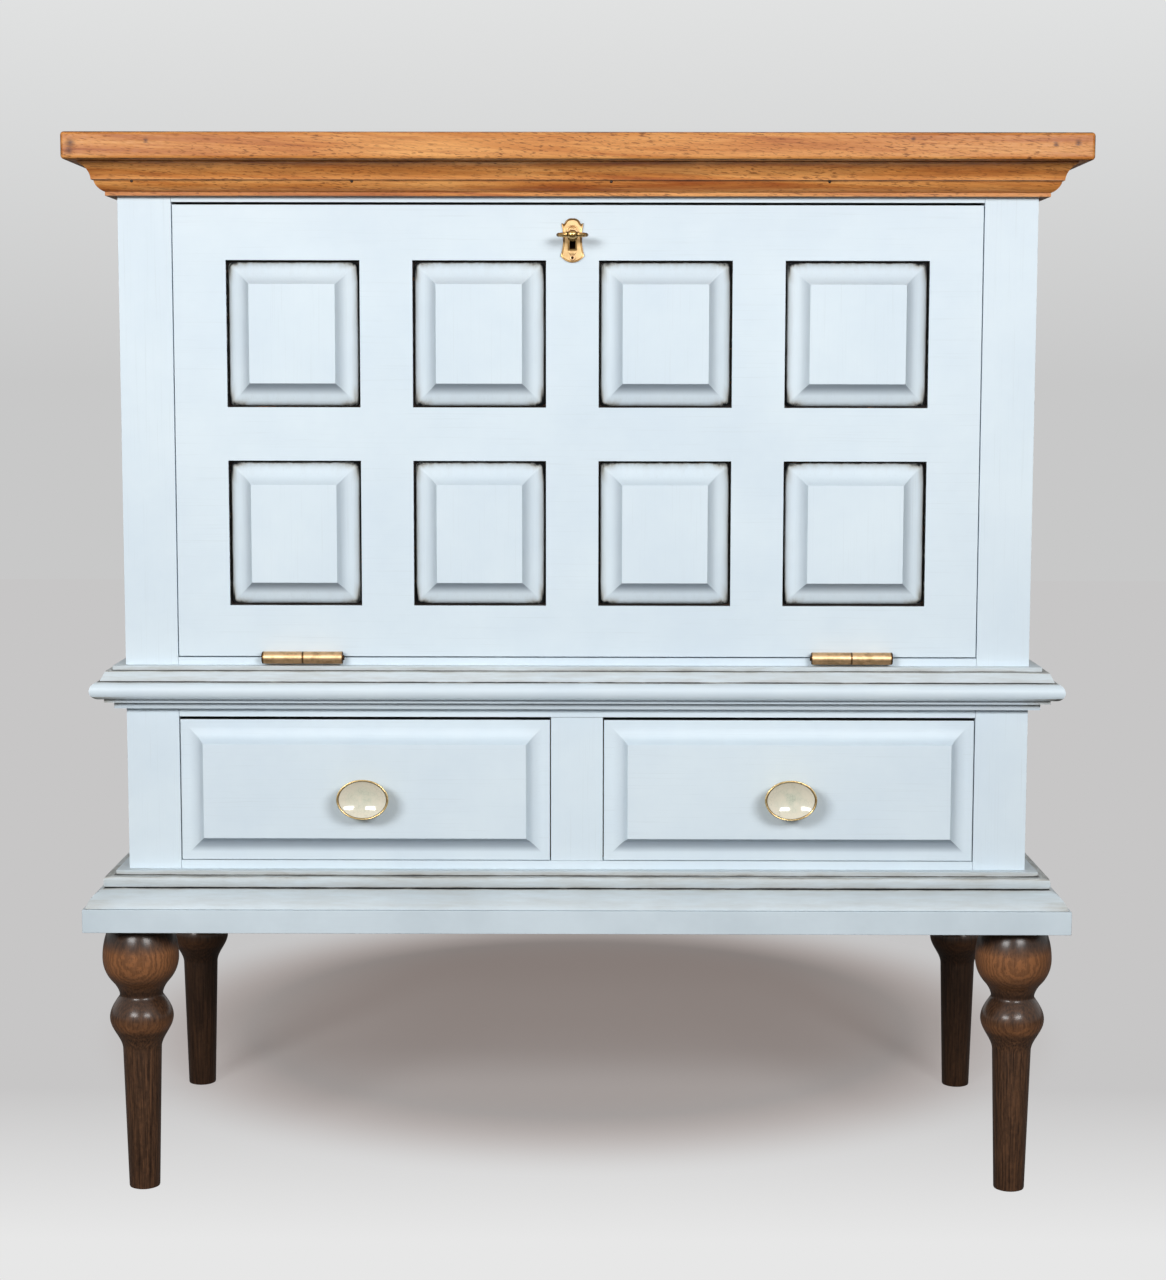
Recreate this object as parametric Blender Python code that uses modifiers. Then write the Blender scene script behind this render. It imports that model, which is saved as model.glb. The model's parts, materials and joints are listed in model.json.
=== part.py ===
"""A painted fall-front bar cabinet with two drawers, on four turned legs.

Sizes are in metres. X runs along the front, the front faces -Y and Z is up.
The origin lies on the floor, under the middle of the whole cabinet.
"""

import math

import bmesh
import bpy
from mathutils import Matrix

# Clearances
FIT = 0.0003                      # gap left between pieces that touch
TURNING_GAP = 0.00018             # between a hinge pin and its knuckle
LOCK_PLAY = 0.0005                # round the bolt and the key shaft

# Carcass
BODY_WIDTH = 0.852
BODY_DEPTH = 0.406
STILE_WIDTH = 0.0494
STILE_THICKNESS = 0.020
MULLION_WIDTH = 0.049
TOP_RAIL_DEPTH = 0.028
WAIST_RAIL_DEPTH = 0.045
SIDE_THICKNESS = 0.018
BACK_THICKNESS = 0.006
BACK_INSET = 0.004
STRIP_BELOW_DRAWERS = 0.0078
DRAWER_OPENING_HEIGHT = 0.138
STRIP_ABOVE_DRAWERS = 0.0089
STRIP_ABOVE_FALL = 0.005

# Top board
TOP_THICKNESS = 0.025
TOP_OVERHANG = 0.043
TOP_EDGE_RADIUS = 0.003

# Cornice, from its foot up
CORNICE_FILLET_HEIGHT = 0.0035
CORNICE_FILLET_OUT = 0.0094
CORNICE_OVOLO_HEIGHT = 0.0098
CORNICE_OVOLO_OUT = 0.0181
CORNICE_OVOLO_SWELL = 0.0017
CORNICE_STEP_HEIGHT = 0.0012
CORNICE_STEP_OUT = 0.0202
CORNICE_COVE_HEIGHT = 0.0145
CORNICE_COVE_OUT = 0.0305
CORNICE_COVE_HOLLOW = 0.0024
CORNICE_TOP_HEIGHT = 0.001

# Waist moulding, from its foot up
WAIST_BAND_HEIGHT = 0.0064
WAIST_BAND_OUT = 0.0098
WAIST_LOWER_FILLET_HEIGHT = 0.0037
WAIST_LOWER_FILLET_OUT = 0.0178
WAIST_TORUS_HEIGHT = 0.0166
WAIST_TORUS_FOOT_OUT = 0.0212
WAIST_TORUS_SWELL = 0.0084
WAIST_SLOPE_HEIGHT = 0.0094
WAIST_SLOPE_TOP_OUT = 0.0165
WAIST_FILLET_HEIGHT = 0.0044
WAIST_FILLET_OUT = 0.0106

# Base moulding and plinth, from the plinth's foot up
PLINTH_THICKNESS = 0.022
PLINTH_OUT = 0.0384
BASE_COVE_HEIGHT = 0.0174
BASE_COVE_OUT = 0.0358
BASE_COVE_HOLLOW = 0.0030
BASE_BAND_HEIGHT = 0.0103
BASE_BAND_OUT = 0.0198
BASE_BAND_SWELL = 0.0012
BASE_FILLET_HEIGHT = 0.0045
BASE_FILLET_OUT = 0.0107

# Turned legs, from the plinth down
LEG_HEIGHT = 0.260
LEG_SIDE_INSET = 0.0457
LEG_END_INSET = 0.048
LEG_TENON_RADIUS = 0.0125
LEG_TENON_LENGTH = 0.016
LEG_BALL_TOP_RADIUS = 0.0282
LEG_BALL_UPPER_LENGTH = 0.0333    # from the plinth to the ball's widest part
LEG_BALL_RADIUS = 0.0363
LEG_BALL_LOWER_LENGTH = 0.0377
LEG_BALL_LOWER_TURN = 42          # degrees of the ball's curve kept above the neck
LEG_NECK_LENGTH = 0.005
LEG_NECK_RADIUS = 0.0206
LEG_RING_UPPER_LENGTH = 0.016
LEG_RING_RADIUS = 0.0303
LEG_RING_LOWER_LENGTH = 0.0315
LEG_TAPER_TOP_RADIUS = 0.0184
LEG_FOOT_RADIUS = 0.0147
LEG_FOOT_CHAMFER = 0.0012

# Fall front
FALL_SIDE_GAP = 0.001
FALL_TOP_GAP = 0.0023
FALL_BOTTOM_GAP = 0.0012
FRAME_THICKNESS = 0.010
WORKTOP_THICKNESS = 0.012
FRAME_STILE_WIDTH = 0.0491
FRAME_TOP_RAIL = 0.0508
FRAME_MIDDLE_RAIL = 0.0498
FRAME_BOTTOM_RAIL = 0.0482
PANEL_OPENING_HEIGHT = 0.1358
LAST_COLUMN_EXTRA = 0.0094        # the right-hand column of panels is wider
COLUMNS = 4
ROWS = 2
FLOOR_CLEARANCE = 0.0012          # between the shut flap and the bar floor

# Raised panels of the fall front
PANEL_GAP = 0.0016
PANEL_EDGE_HEIGHT = 0.0042
PANEL_ROUND_WIDTH = 0.0084
PANEL_ROUND_SWELL = 0.0018
PANEL_MARGIN_HEIGHT = 0.0094
PANEL_MARGIN_WIDTH = 0.0107
PANEL_COVE_HOLLOW = 0.0006
PANEL_FIELD_INSET = 0.0207
PANEL_FIELD_HEIGHT = 0.0201
PANEL_BEVEL_HEIGHT = 0.0004
PANEL_BEVEL_WIDTH = 0.0005

# Hinges of the fall front
HINGE_LENGTH = 0.0762
HINGE_INSET = 0.0792              # from the flap's end to the barrel
HINGE_BARREL_RADIUS = 0.0058
HINGE_BARREL_CHAMFER = 0.0006
HINGE_FACE_GAP = 0.0004           # between the barrel and the flap's face
HINGE_MOULDING_GAP = 0.0018       # between the barrel and the waist moulding
HINGE_PIN_RADIUS = 0.0024
HINGE_PIN_TIP = 0.0012
HINGE_LEAF_THICKNESS = 0.0016
HINGE_LEAF_DEPTH = 0.017

# Quadrant stays
STAY_RADIUS = 0.150
STAY_BAR_HEIGHT = 0.008
STAY_BAR_THICKNESS = 0.003
STAY_SIDE_GAP = 0.0066            # from the opening's side to the bar
STAY_CATCH = 0.010                # of the stop behind the stile
STAY_STOP_THICKNESS = 0.003
STAY_FOOT_LENGTH = 0.040
STAY_FOOT_WIDTH = 0.015
STAY_FOOT_THICKNESS = 0.002
STAY_SLOT_PLAY = 0.002

# Lock
KEY_DROP = 0.0286                 # from the flap's top edge to the key
LOCK_CASE_WIDTH = 0.046
LOCK_WALL = 0.0015
LOCK_FOOT_SPACE = 0.0022          # inside the case, under the bolt
BOLT_WIDTH = 0.018
BOLT_THICKNESS = 0.004
BOLT_FRAME_RIM = 0.0035
BOLT_WINDOW_PLAY = 0.002          # beside the key's bit
BOLT_THROW = 0.009
KEYHOLE_SLOT_WIDTH = 0.0055
KEYHOLE_SLOT_DROP = 0.0116
KEYHOLE_SHOULDER = 0.0004         # by which the round part is wider than the slot, each side

# Escutcheon
ESCUTCHEON_THICKNESS = 0.0013
ESCUTCHEON_HEIGHT = 0.0405
ESCUTCHEON_ABOVE_KEY = 0.0163
ESCUTCHEON_CROWN_HALF = 0.0072
ESCUTCHEON_CROWN_DROP = 0.0044
ESCUTCHEON_CROWN_SWELL = 0.0016
ESCUTCHEON_NOTCH = 0.0008
ESCUTCHEON_HORN_HALF = 0.0102
ESCUTCHEON_WAIST_HALF = 0.0088
ESCUTCHEON_SIDE_HOLLOW = 0.0006
ESCUTCHEON_FOOT_HALF = 0.0110
ESCUTCHEON_FOOT_RISE = 0.0062
ESCUTCHEON_FOOT_SWELL = 0.0015

# Key
KEY_COLLAR_RADIUS = 0.0050
KEY_COLLAR_LENGTH = 0.003
KEY_COLLAR_OUT = 0.004            # from the escutcheon to the collar
KEY_STEM_OUT = 0.0115             # from the escutcheon to the bow
KEY_BOW_WIDTH = 0.0295
KEY_BOW_LENGTH = 0.019
KEY_BOW_BAR = 0.0036
KEY_BIT_REACH = 0.0080
KEY_BIT_THICKNESS = 0.002

# Drawers
DRAWER_SIDE_GAP = 0.001
DRAWER_TOP_GAP = 0.0025
DRAWER_BOTTOM_GAP = 0.0006
DRAWER_FRONT_THICKNESS = 0.020
DRAWER_MARGIN_WIDTH = 0.0075
DRAWER_COVE_HOLLOW = 0.0015
DRAWER_FIELD_INSET = 0.0232
DRAWER_FIELD_HEIGHT = 0.0105
DRAWER_BEVEL_HEIGHT = 0.0005
DRAWER_BEVEL_WIDTH = 0.0006
DRAWER_BOX_DROP = 0.023           # from the front's top edge to the box's rim
DRAWER_WALL = 0.012
DRAWER_BOX_INSET = 0.0005
DRAWER_BOTTOM_THICKNESS = 0.005
DRAWER_BOTTOM_RISE = 0.008
DRAWER_GROOVE_DEPTH = 0.006
DRAWER_REAR_SPACE = 0.025
RUNNER_HEIGHT = 0.022
RUNNER_BEARING = 0.014            # of each runner under a drawer side
GUIDE_HEIGHT = 0.022

# Knobs, from the drawer's face out
KNOB_WIDTH = 0.049
KNOB_HEIGHT = 0.038
KNOB_DROP = 0.004                 # below the middle of the drawer front
KNOB_SPIGOT_RADIUS = 0.002
KNOB_FOOT_RADIUS = 0.009
KNOB_FOOT_THICKNESS = 0.002
KNOB_FLARE_LENGTH = 0.0045
KNOB_NECK_RADIUS = 0.0055
KNOB_NECK_LENGTH = 0.0048
KNOB_SHOULDER_LENGTH = 0.0033
KNOB_SHOULDER_HALF = 0.0105       # across the oval's short way
KNOB_CUP_DEPTH = 0.0059
KNOB_RIM_DEPTH = 0.003
KNOB_RIM_WIDTH = 0.0022
KNOB_RIM_SINK = 0.0007            # from the rim down to the glazed dish's edge
KNOB_DISH_DEPTH = 0.0056
KNOB_DISH_SWELL = 0.0014

# Facets of the round pieces
LEG_FACETS = 28
HINGE_FACETS = 24
KNOB_FACETS = 36
KEY_FACETS = 20

# Levels, worked out from the sizes above
HALF_WIDTH = BODY_WIDTH / 2
FRONT = (TOP_OVERHANG - BODY_DEPTH) / 2
BACK = FRONT + BODY_DEPTH
PLINTH_TOP = LEG_HEIGHT + PLINTH_THICKNESS
BASE_TOP = PLINTH_TOP + FIT + BASE_COVE_HEIGHT + BASE_BAND_HEIGHT + BASE_FILLET_HEIGHT
DRAWER_LOW = BASE_TOP + STRIP_BELOW_DRAWERS
DRAWER_HIGH = DRAWER_LOW + DRAWER_OPENING_HEIGHT
WAIST_LOW = DRAWER_HIGH + STRIP_ABOVE_DRAWERS
WAIST_HIGH = (WAIST_LOW + WAIST_BAND_HEIGHT + WAIST_LOWER_FILLET_HEIGHT + WAIST_TORUS_HEIGHT
              + WAIST_SLOPE_HEIGHT + WAIST_FILLET_HEIGHT)
AXIS_Z = WAIST_HIGH + HINGE_MOULDING_GAP + HINGE_BARREL_RADIUS
AXIS_OUT = HINGE_BARREL_RADIUS + HINGE_FACE_GAP
FALL_LOW = AXIS_Z - FALL_BOTTOM_GAP / 2
FALL_HEIGHT = FRAME_TOP_RAIL + FRAME_MIDDLE_RAIL + FRAME_BOTTOM_RAIL + ROWS * PANEL_OPENING_HEIGHT
FALL_THICKNESS = FRAME_THICKNESS + FIT + WORKTOP_THICKNESS
FALL_HIGH = FALL_LOW + FALL_BOTTOM_GAP + FALL_HEIGHT + FALL_TOP_GAP
CORNICE_LOW = FALL_HIGH + STRIP_ABOVE_FALL
TOP_LOW = (CORNICE_LOW + CORNICE_FILLET_HEIGHT + CORNICE_OVOLO_HEIGHT + CORNICE_STEP_HEIGHT
           + CORNICE_COVE_HEIGHT + CORNICE_TOP_HEIGHT + FIT)
HALF_OPENING = HALF_WIDTH - STILE_WIDTH
FALL_HALF = HALF_OPENING - FALL_SIDE_GAP
INNER_HALF = HALF_WIDTH - SIDE_THICKNESS
INNER_BACK = BACK - BACK_INSET - BACK_THICKNESS
FLOOR_TOP = AXIS_Z + AXIS_OUT + FALL_THICKNESS
PANEL_OPENING_WIDTH = (2 * FALL_HALF - (COLUMNS + 1) * FRAME_STILE_WIDTH - LAST_COLUMN_EXTRA) / COLUMNS
LOCK_X = -FALL_HALF + (COLUMNS // 2) * (FRAME_STILE_WIDTH + PANEL_OPENING_WIDTH) + FRAME_STILE_WIDTH / 2

# Places on the fall front, measured from the hinge axis
FACE_Y = AXIS_OUT
FRAME_BACK_Y = FACE_Y + FRAME_THICKNESS
WORKTOP_Y = FRAME_BACK_Y + FIT
INNER_Y = FACE_Y + FALL_THICKNESS
FRAME_LOW_Z = FALL_BOTTOM_GAP / 2
FRAME_HIGH_Z = FRAME_LOW_Z + FALL_HEIGHT
KEY_Z = FRAME_HIGH_Z - KEY_DROP
BOLT_Y = WORKTOP_Y + WORKTOP_THICKNESS / 2
KEYHOLE_RADIUS = KEYHOLE_SLOT_WIDTH / 2 + KEYHOLE_SHOULDER
KEY_SHAFT_RADIUS = KEYHOLE_RADIUS - LOCK_PLAY
LOCK_HIGH_Z = FRAME_HIGH_Z - FIT
BOLT_WINDOW_LOW = KEY_Z - KEY_SHAFT_RADIUS - LOCK_PLAY - BOLT_THROW
LOCK_LOW_Z = BOLT_WINDOW_LOW - BOLT_FRAME_RIM - LOCK_FOOT_SPACE - LOCK_WALL

# Places on a drawer, measured from the middle of its front's foot
DRAWER_WIDTH = HALF_OPENING - MULLION_WIDTH / 2 - 2 * DRAWER_SIDE_GAP
DRAWER_FRONT_HEIGHT = DRAWER_OPENING_HEIGHT - DRAWER_TOP_GAP - DRAWER_BOTTOM_GAP
DRAWER_X = MULLION_WIDTH / 2 + DRAWER_SIDE_GAP + DRAWER_WIDTH / 2
DRAWER_BOX_HEIGHT = DRAWER_FRONT_HEIGHT - DRAWER_BOX_DROP
DRAWER_BOX_HALF = DRAWER_WIDTH / 2 - DRAWER_BOX_INSET
DRAWER_BOX_START = DRAWER_FRONT_THICKNESS + FIT
DRAWER_BOX_END = INNER_BACK - FRONT - DRAWER_REAR_SPACE
KNOB_Z = DRAWER_FRONT_HEIGHT / 2 - KNOB_DROP

for stale in list(bpy.data.objects):
    bpy.data.objects.remove(stale, do_unlink=True)

cabinet = bpy.data.collections.new("bar_cabinet")
cutters = bpy.data.collections.new("cutters")
bpy.context.scene.collection.children.link(cabinet)
bpy.context.scene.collection.children.link(cutters)


# Finishes

def finish(name, colour, roughness, metallic=0.0):
    material = bpy.data.materials.new(name)
    material.use_nodes = True
    shader = material.node_tree.nodes["Principled BSDF"]
    shader.inputs["Base Color"].default_value = (*colour, 1.0)
    shader.inputs["Roughness"].default_value = roughness
    shader.inputs["Metallic"].default_value = metallic
    return material


BLUE_PAINT = finish("blue_paint", (0.70, 0.80, 0.87), 0.5)
HONEY_WOOD = finish("honey_wood", (0.52, 0.24, 0.08), 0.4)
DARK_WOOD = finish("dark_walnut", (0.06, 0.035, 0.022), 0.35)
PLAIN_WOOD = finish("plain_wood", (0.50, 0.33, 0.18), 0.6)
BRASS = finish("brass", (0.72, 0.48, 0.22), 0.35, 1.0)
STEEL = finish("steel", (0.45, 0.45, 0.46), 0.4, 1.0)
GILT = finish("gilt_and_ivory", (0.80, 0.72, 0.55), 0.25)


# Places and pieces

def empty(name, location, parent=None):
    obj = bpy.data.objects.new(name, None)
    obj.location = location
    obj.parent = parent
    cabinet.objects.link(obj)
    return obj


def piece(name, mesh, material, parent=None, location=(0.0, 0.0, 0.0)):
    obj = bpy.data.objects.new(name, mesh)
    mesh.materials.clear()
    mesh.materials.append(material)
    obj.location = location
    obj.parent = parent
    cabinet.objects.link(obj)
    return obj


def shape(target, mesh, operation):
    tool = bpy.data.objects.new(target.name + "_" + operation.lower(), mesh)
    tool.location = target.location
    tool.parent = target.parent
    tool.hide_render = True
    tool.display_type = "WIRE"
    cutters.objects.link(tool)
    boolean = target.modifiers.new(operation.title(), "BOOLEAN")
    boolean.operation = operation
    boolean.solver = "EXACT"
    boolean.object = tool


def cut(target, mesh):
    shape(target, mesh, "DIFFERENCE")


def fuse(target, mesh):
    shape(target, mesh, "UNION")


# Meshes

def mesh_from(bm, name, smooth_angle=None):
    bmesh.ops.recalc_face_normals(bm, faces=bm.faces[:])
    mesh = bpy.data.meshes.new(name)
    bm.to_mesh(mesh)
    bm.free()
    if smooth_angle is not None:
        mesh.shade_smooth()
        mesh.set_sharp_from_angle(angle=smooth_angle)
    return mesh


def block(name, low, high, edge_radius=0.0):
    bm = bmesh.new()
    bmesh.ops.create_cube(bm, size=1.0)
    bmesh.ops.scale(bm, vec=[b - a for a, b in zip(low, high)], verts=bm.verts)
    bmesh.ops.translate(bm, vec=[(a + b) / 2 for a, b in zip(low, high)], verts=bm.verts)
    if edge_radius:
        bmesh.ops.bevel(bm, geom=bm.edges[:], offset=edge_radius, segments=2, profile=0.5, affect="EDGES")
    return mesh_from(bm, name)


def prism(name, outline, start, end, axes):
    """Extrude an outline along one axis; axes names those of the outline's two coordinates and the length."""
    bm = bmesh.new()
    across, up, along = ("xyz".index(letter) for letter in axes)
    corners = []
    for u, v in outline:
        place = [0.0, 0.0, 0.0]
        place[across] = u
        place[up] = v
        place[along] = start
        corners.append(bm.verts.new(place))
    face = bm.faces.new(corners)
    run = bmesh.ops.extrude_face_region(bm, geom=[face])
    for item in run["geom"]:
        if isinstance(item, bmesh.types.BMVert):
            item.co[along] = end
    return mesh_from(bm, name)


ALONG_X = "yzx"
ALONG_Y = "xzy"
ALONG_Z = "xyz"


def arc(start, end, sagitta, steps):
    """Points after start, up to end, on an arc that swells by sagitta to the left of the way."""
    run = end[0] - start[0], end[1] - start[1]
    chord = math.hypot(*run)
    half_turn = 2.0 * math.atan2(2.0 * sagitta, chord)
    radius = chord / (2.0 * math.sin(half_turn))
    points = []
    for step in range(1, steps + 1):
        turn = half_turn * (2.0 * step / steps - 1.0)
        along = radius * math.sin(turn) / chord + 0.5
        across = radius * (math.cos(turn) - math.cos(half_turn)) / chord
        points.append((start[0] + run[0] * along - run[1] * across,
                       start[1] + run[1] * along + run[0] * across))
    return points


def plate(name, outlines, front_y, back_y):
    """A flat upright plate; outlines holds its rim and then its holes, each as points (x, z)."""
    curve = bpy.data.curves.new(name, "CURVE")
    curve.dimensions = "2D"
    curve.fill_mode = "BOTH"
    curve.extrude = (back_y - front_y) / 2
    for outline in outlines:
        spline = curve.splines.new("POLY")
        spline.points.add(len(outline) - 1)
        for point, (x, z) in zip(spline.points, outline):
            point.co = (x, z, 0.0, 1.0)
        spline.use_cyclic_u = True
    drawn = bpy.data.objects.new(name + "_outline", curve)
    cutters.objects.link(drawn)
    bpy.context.view_layer.update()
    mesh = bpy.data.meshes.new_from_object(drawn.evaluated_get(bpy.context.evaluated_depsgraph_get()))
    bpy.data.objects.remove(drawn, do_unlink=True)
    bm = bmesh.new()
    bm.from_mesh(mesh)
    bpy.data.meshes.remove(mesh)
    bmesh.ops.remove_doubles(bm, verts=bm.verts, dist=0.000001)
    upright = Matrix.Translation((0.0, (front_y + back_y) / 2, 0.0)) @ Matrix.Rotation(math.pi / 2, 4, "X")
    bmesh.ops.transform(bm, matrix=upright, verts=bm.verts)
    return mesh_from(bm, name)


def turned(name, profile, facets, axis, smooth_angle=math.radians(35)):
    """Spin a profile of points (radius, along) round the X, -Y or Z axis."""
    bm = bmesh.new()
    verts = [bm.verts.new((radius, 0.0, along)) for radius, along in profile]
    edges = [bm.edges.new(pair) for pair in zip(verts, verts[1:])]
    if profile[0][0] > 0.0:
        edges.append(bm.edges.new((verts[-1], verts[0])))
    bmesh.ops.spin(bm, geom=verts + edges, cent=(0, 0, 0), axis=(0, 0, 1), angle=2 * math.pi,
                   steps=facets, use_merge=True)
    bmesh.ops.remove_doubles(bm, verts=bm.verts, dist=0.00001)
    turns = {"X": Matrix.Rotation(math.pi / 2, 4, "Y"), "-Y": Matrix.Rotation(math.pi / 2, 4, "X"),
             "Z": Matrix.Identity(4)}
    bmesh.ops.transform(bm, matrix=turns[axis], verts=bm.verts)
    return mesh_from(bm, name, smooth_angle)


def moved(mesh, offset):
    mesh.transform(Matrix.Translation(offset))
    return mesh


def raised_front(name, width, height, back, edge_height, steps):
    """A board whose front is stepped inwards; steps holds (inset, height) of each line from the edge in."""
    bm = bmesh.new()
    bmesh.ops.create_cube(bm, size=1.0)
    bmesh.ops.scale(bm, vec=(width, edge_height, height), verts=bm.verts)
    bmesh.ops.translate(bm, vec=(0.0, back - edge_height / 2, 0.0), verts=bm.verts)
    front = min(bm.faces, key=lambda face: face.calc_center_median().y)
    last_inset, last_height = 0.0, edge_height
    for inset, level in steps:
        bmesh.ops.inset_region(bm, faces=[front], thickness=inset - last_inset, use_even_offset=True)
        bmesh.ops.translate(bm, vec=(0.0, last_height - level, 0.0), verts=front.verts)
        last_inset, last_height = inset, level
    return mesh_from(bm, name)


# Mouldings: each profile holds points (out from the body, height above its foot), from the foot up

def closed_profile(rim):
    return [(FIT, rim[0][1])] + rim + [(FIT, rim[-1][1])]


def cornice_profile():
    ovolo_foot = CORNICE_FILLET_OUT, CORNICE_FILLET_HEIGHT
    ovolo_top = CORNICE_OVOLO_OUT, CORNICE_FILLET_HEIGHT + CORNICE_OVOLO_HEIGHT
    step_foot = CORNICE_OVOLO_OUT, ovolo_top[1] + CORNICE_STEP_HEIGHT / 2
    cove_foot = CORNICE_STEP_OUT, ovolo_top[1] + CORNICE_STEP_HEIGHT
    cove_top = CORNICE_COVE_OUT, cove_foot[1] + CORNICE_COVE_HEIGHT
    rim = [(CORNICE_FILLET_OUT, 0.0), ovolo_foot]
    rim += arc(ovolo_foot, ovolo_top, -CORNICE_OVOLO_SWELL, 5)
    rim += [step_foot, (CORNICE_STEP_OUT, step_foot[1]), cove_foot]
    rim += arc(cove_foot, cove_top, CORNICE_COVE_HOLLOW, 6)
    rim.append((CORNICE_COVE_OUT, cove_top[1] + CORNICE_TOP_HEIGHT))
    return closed_profile(rim)


def waist_profile():
    fillet_top = WAIST_BAND_HEIGHT + WAIST_LOWER_FILLET_HEIGHT
    torus_top = fillet_top + WAIST_TORUS_HEIGHT
    slope_top = torus_top + WAIST_SLOPE_HEIGHT
    rim = [(WAIST_BAND_OUT, 0.0), (WAIST_BAND_OUT, WAIST_BAND_HEIGHT)]
    rim += [(WAIST_LOWER_FILLET_OUT, WAIST_BAND_HEIGHT), (WAIST_LOWER_FILLET_OUT, fillet_top)]
    rim.append((WAIST_TORUS_FOOT_OUT, fillet_top))
    facets = 8
    for step in range(1, facets + 1):
        turn = math.pi * step / facets
        rim.append((WAIST_TORUS_FOOT_OUT + WAIST_TORUS_SWELL * math.sin(turn),
                    fillet_top + WAIST_TORUS_HEIGHT * (1.0 - math.cos(turn)) / 2))
    rim += [(WAIST_SLOPE_TOP_OUT, slope_top), (WAIST_FILLET_OUT, slope_top)]
    rim.append((WAIST_FILLET_OUT, slope_top + WAIST_FILLET_HEIGHT))
    return closed_profile(rim)


def base_profile():
    cove_foot = BASE_COVE_OUT, 0.0
    cove_top = BASE_BAND_OUT, BASE_COVE_HEIGHT
    band_top = BASE_BAND_OUT, BASE_COVE_HEIGHT + BASE_BAND_HEIGHT
    rim = [cove_foot] + arc(cove_foot, cove_top, -BASE_COVE_HOLLOW, 5)
    rim += arc(cove_top, band_top, -BASE_BAND_SWELL, 4)
    rim += [(BASE_FILLET_OUT, band_top[1]), (BASE_FILLET_OUT, band_top[1] + BASE_FILLET_HEIGHT)]
    return closed_profile(rim)


def moulding(name, profile, low, material):
    """Three mitred lengths of one profile, along the front and back along both sides."""
    def length(suffix, near, far):
        bm = bmesh.new()
        start = [bm.verts.new(near(out, low + rise)) for out, rise in profile]
        face = bm.faces.new(start)
        run = bmesh.ops.extrude_face_region(bm, geom=[face])
        for item in run["geom"]:
            if isinstance(item, bmesh.types.BMVert):
                item.co = far(item.co)
        piece(name + suffix, mesh_from(bm, name + suffix), material)

    mitre = FIT / 2
    length("_front", lambda out, z: (mitre - HALF_WIDTH - out, FRONT - out, z),
           lambda co: (-co.x, co.y, co.z))
    for suffix, side in (("_left", -1), ("_right", 1)):
        length(suffix, lambda out, z, s=side: (s * (HALF_WIDTH + out), FRONT - out + mitre, z),
               lambda co: (co.x, BACK, co.z))


# Carcass

def carcass():
    piece("top_board", block("top_board", (-HALF_WIDTH - TOP_OVERHANG, FRONT - TOP_OVERHANG, TOP_LOW),
                             (HALF_WIDTH + TOP_OVERHANG, BACK, TOP_LOW + TOP_THICKNESS), TOP_EDGE_RADIUS),
          HONEY_WOOD)
    low, high = PLINTH_TOP + FIT, TOP_LOW - FIT
    for suffix, side in (("_left", -1), ("_right", 1)):
        outer, stile_edge, panel_edge = side * HALF_WIDTH, side * HALF_OPENING, side * INNER_HALF
        piece("stile" + suffix, block("stile" + suffix, (min(outer, stile_edge), FRONT, low),
                                      (max(outer, stile_edge), FRONT + STILE_THICKNESS, high)), BLUE_PAINT)
        piece("side_panel" + suffix,
              block("side_panel" + suffix, (min(outer, panel_edge), FRONT + STILE_THICKNESS + FIT, low),
                    (max(outer, panel_edge), BACK, high)), BLUE_PAINT)
    piece("back_panel", block("back_panel", (FIT - INNER_HALF, INNER_BACK, low),
                              (INNER_HALF - FIT, BACK - BACK_INSET, high)), PLAIN_WOOD)

    span = HALF_OPENING - FIT
    top_rail = piece("top_rail", block("top_rail", (-span, FRONT, FALL_HIGH),
                                       (span, FRONT + TOP_RAIL_DEPTH, high)), BLUE_PAINT)
    bolt_y = FRONT - AXIS_OUT + BOLT_Y
    side_play, end_play = BOLT_WIDTH / 2 + LOCK_PLAY, BOLT_THICKNESS / 2 + LOCK_PLAY
    mortise_depth = BOLT_THROW + LOCK_PLAY
    cut(top_rail, block("bolt_mortise", (LOCK_X - side_play, bolt_y - end_play, FALL_HIGH - mortise_depth),
                        (LOCK_X + side_play, bolt_y + end_play, FALL_HIGH + mortise_depth)))
    waist_rail = piece("waist_rail", block("waist_rail", (-span, FRONT, DRAWER_HIGH),
                                           (span, FRONT + WAIST_RAIL_DEPTH, FALL_LOW)), BLUE_PAINT)
    for side in (-1, 1):
        cut(waist_rail, moved(leaf_recess("rail_recess", side, -1), (0.0, FRONT - AXIS_OUT, AXIS_Z)))
    piece("bottom_rail", block("bottom_rail", (-span, FRONT, low),
                               (span, FRONT + STILE_THICKNESS, DRAWER_LOW)), BLUE_PAINT)
    half = MULLION_WIDTH / 2
    piece("drawer_mullion", block("drawer_mullion", (-half, FRONT, DRAWER_LOW + FIT),
                                  (half, FRONT + STILE_THICKNESS, DRAWER_HIGH - FIT)), BLUE_PAINT)

    floor_front = FRONT + FALL_THICKNESS + FLOOR_CLEARANCE
    bar_floor = piece("bar_floor", block("bar_floor", (FIT - INNER_HALF, floor_front, FALL_LOW + FIT),
                                         (INNER_HALF - FIT, INNER_BACK - FIT, FLOOR_TOP)), HONEY_WOOD)
    reach = STAY_BAR_HEIGHT / 2 + STAY_SLOT_PLAY
    rise = FLOOR_TOP - AXIS_Z
    nearest = math.sqrt((STAY_RADIUS - reach) ** 2 - rise ** 2)
    for side in (-1, 1):
        ends = side * (STAY_INNER - STAY_SLOT_PLAY), side * (STAY_STOP_END + STAY_SLOT_PLAY)
        cut(bar_floor, block("stay_slot", (min(ends), FRONT - AXIS_OUT + nearest, FALL_LOW - rise),
                             (max(ends), FRONT - AXIS_OUT + STAY_RADIUS + reach, FLOOR_TOP + rise)))


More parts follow.
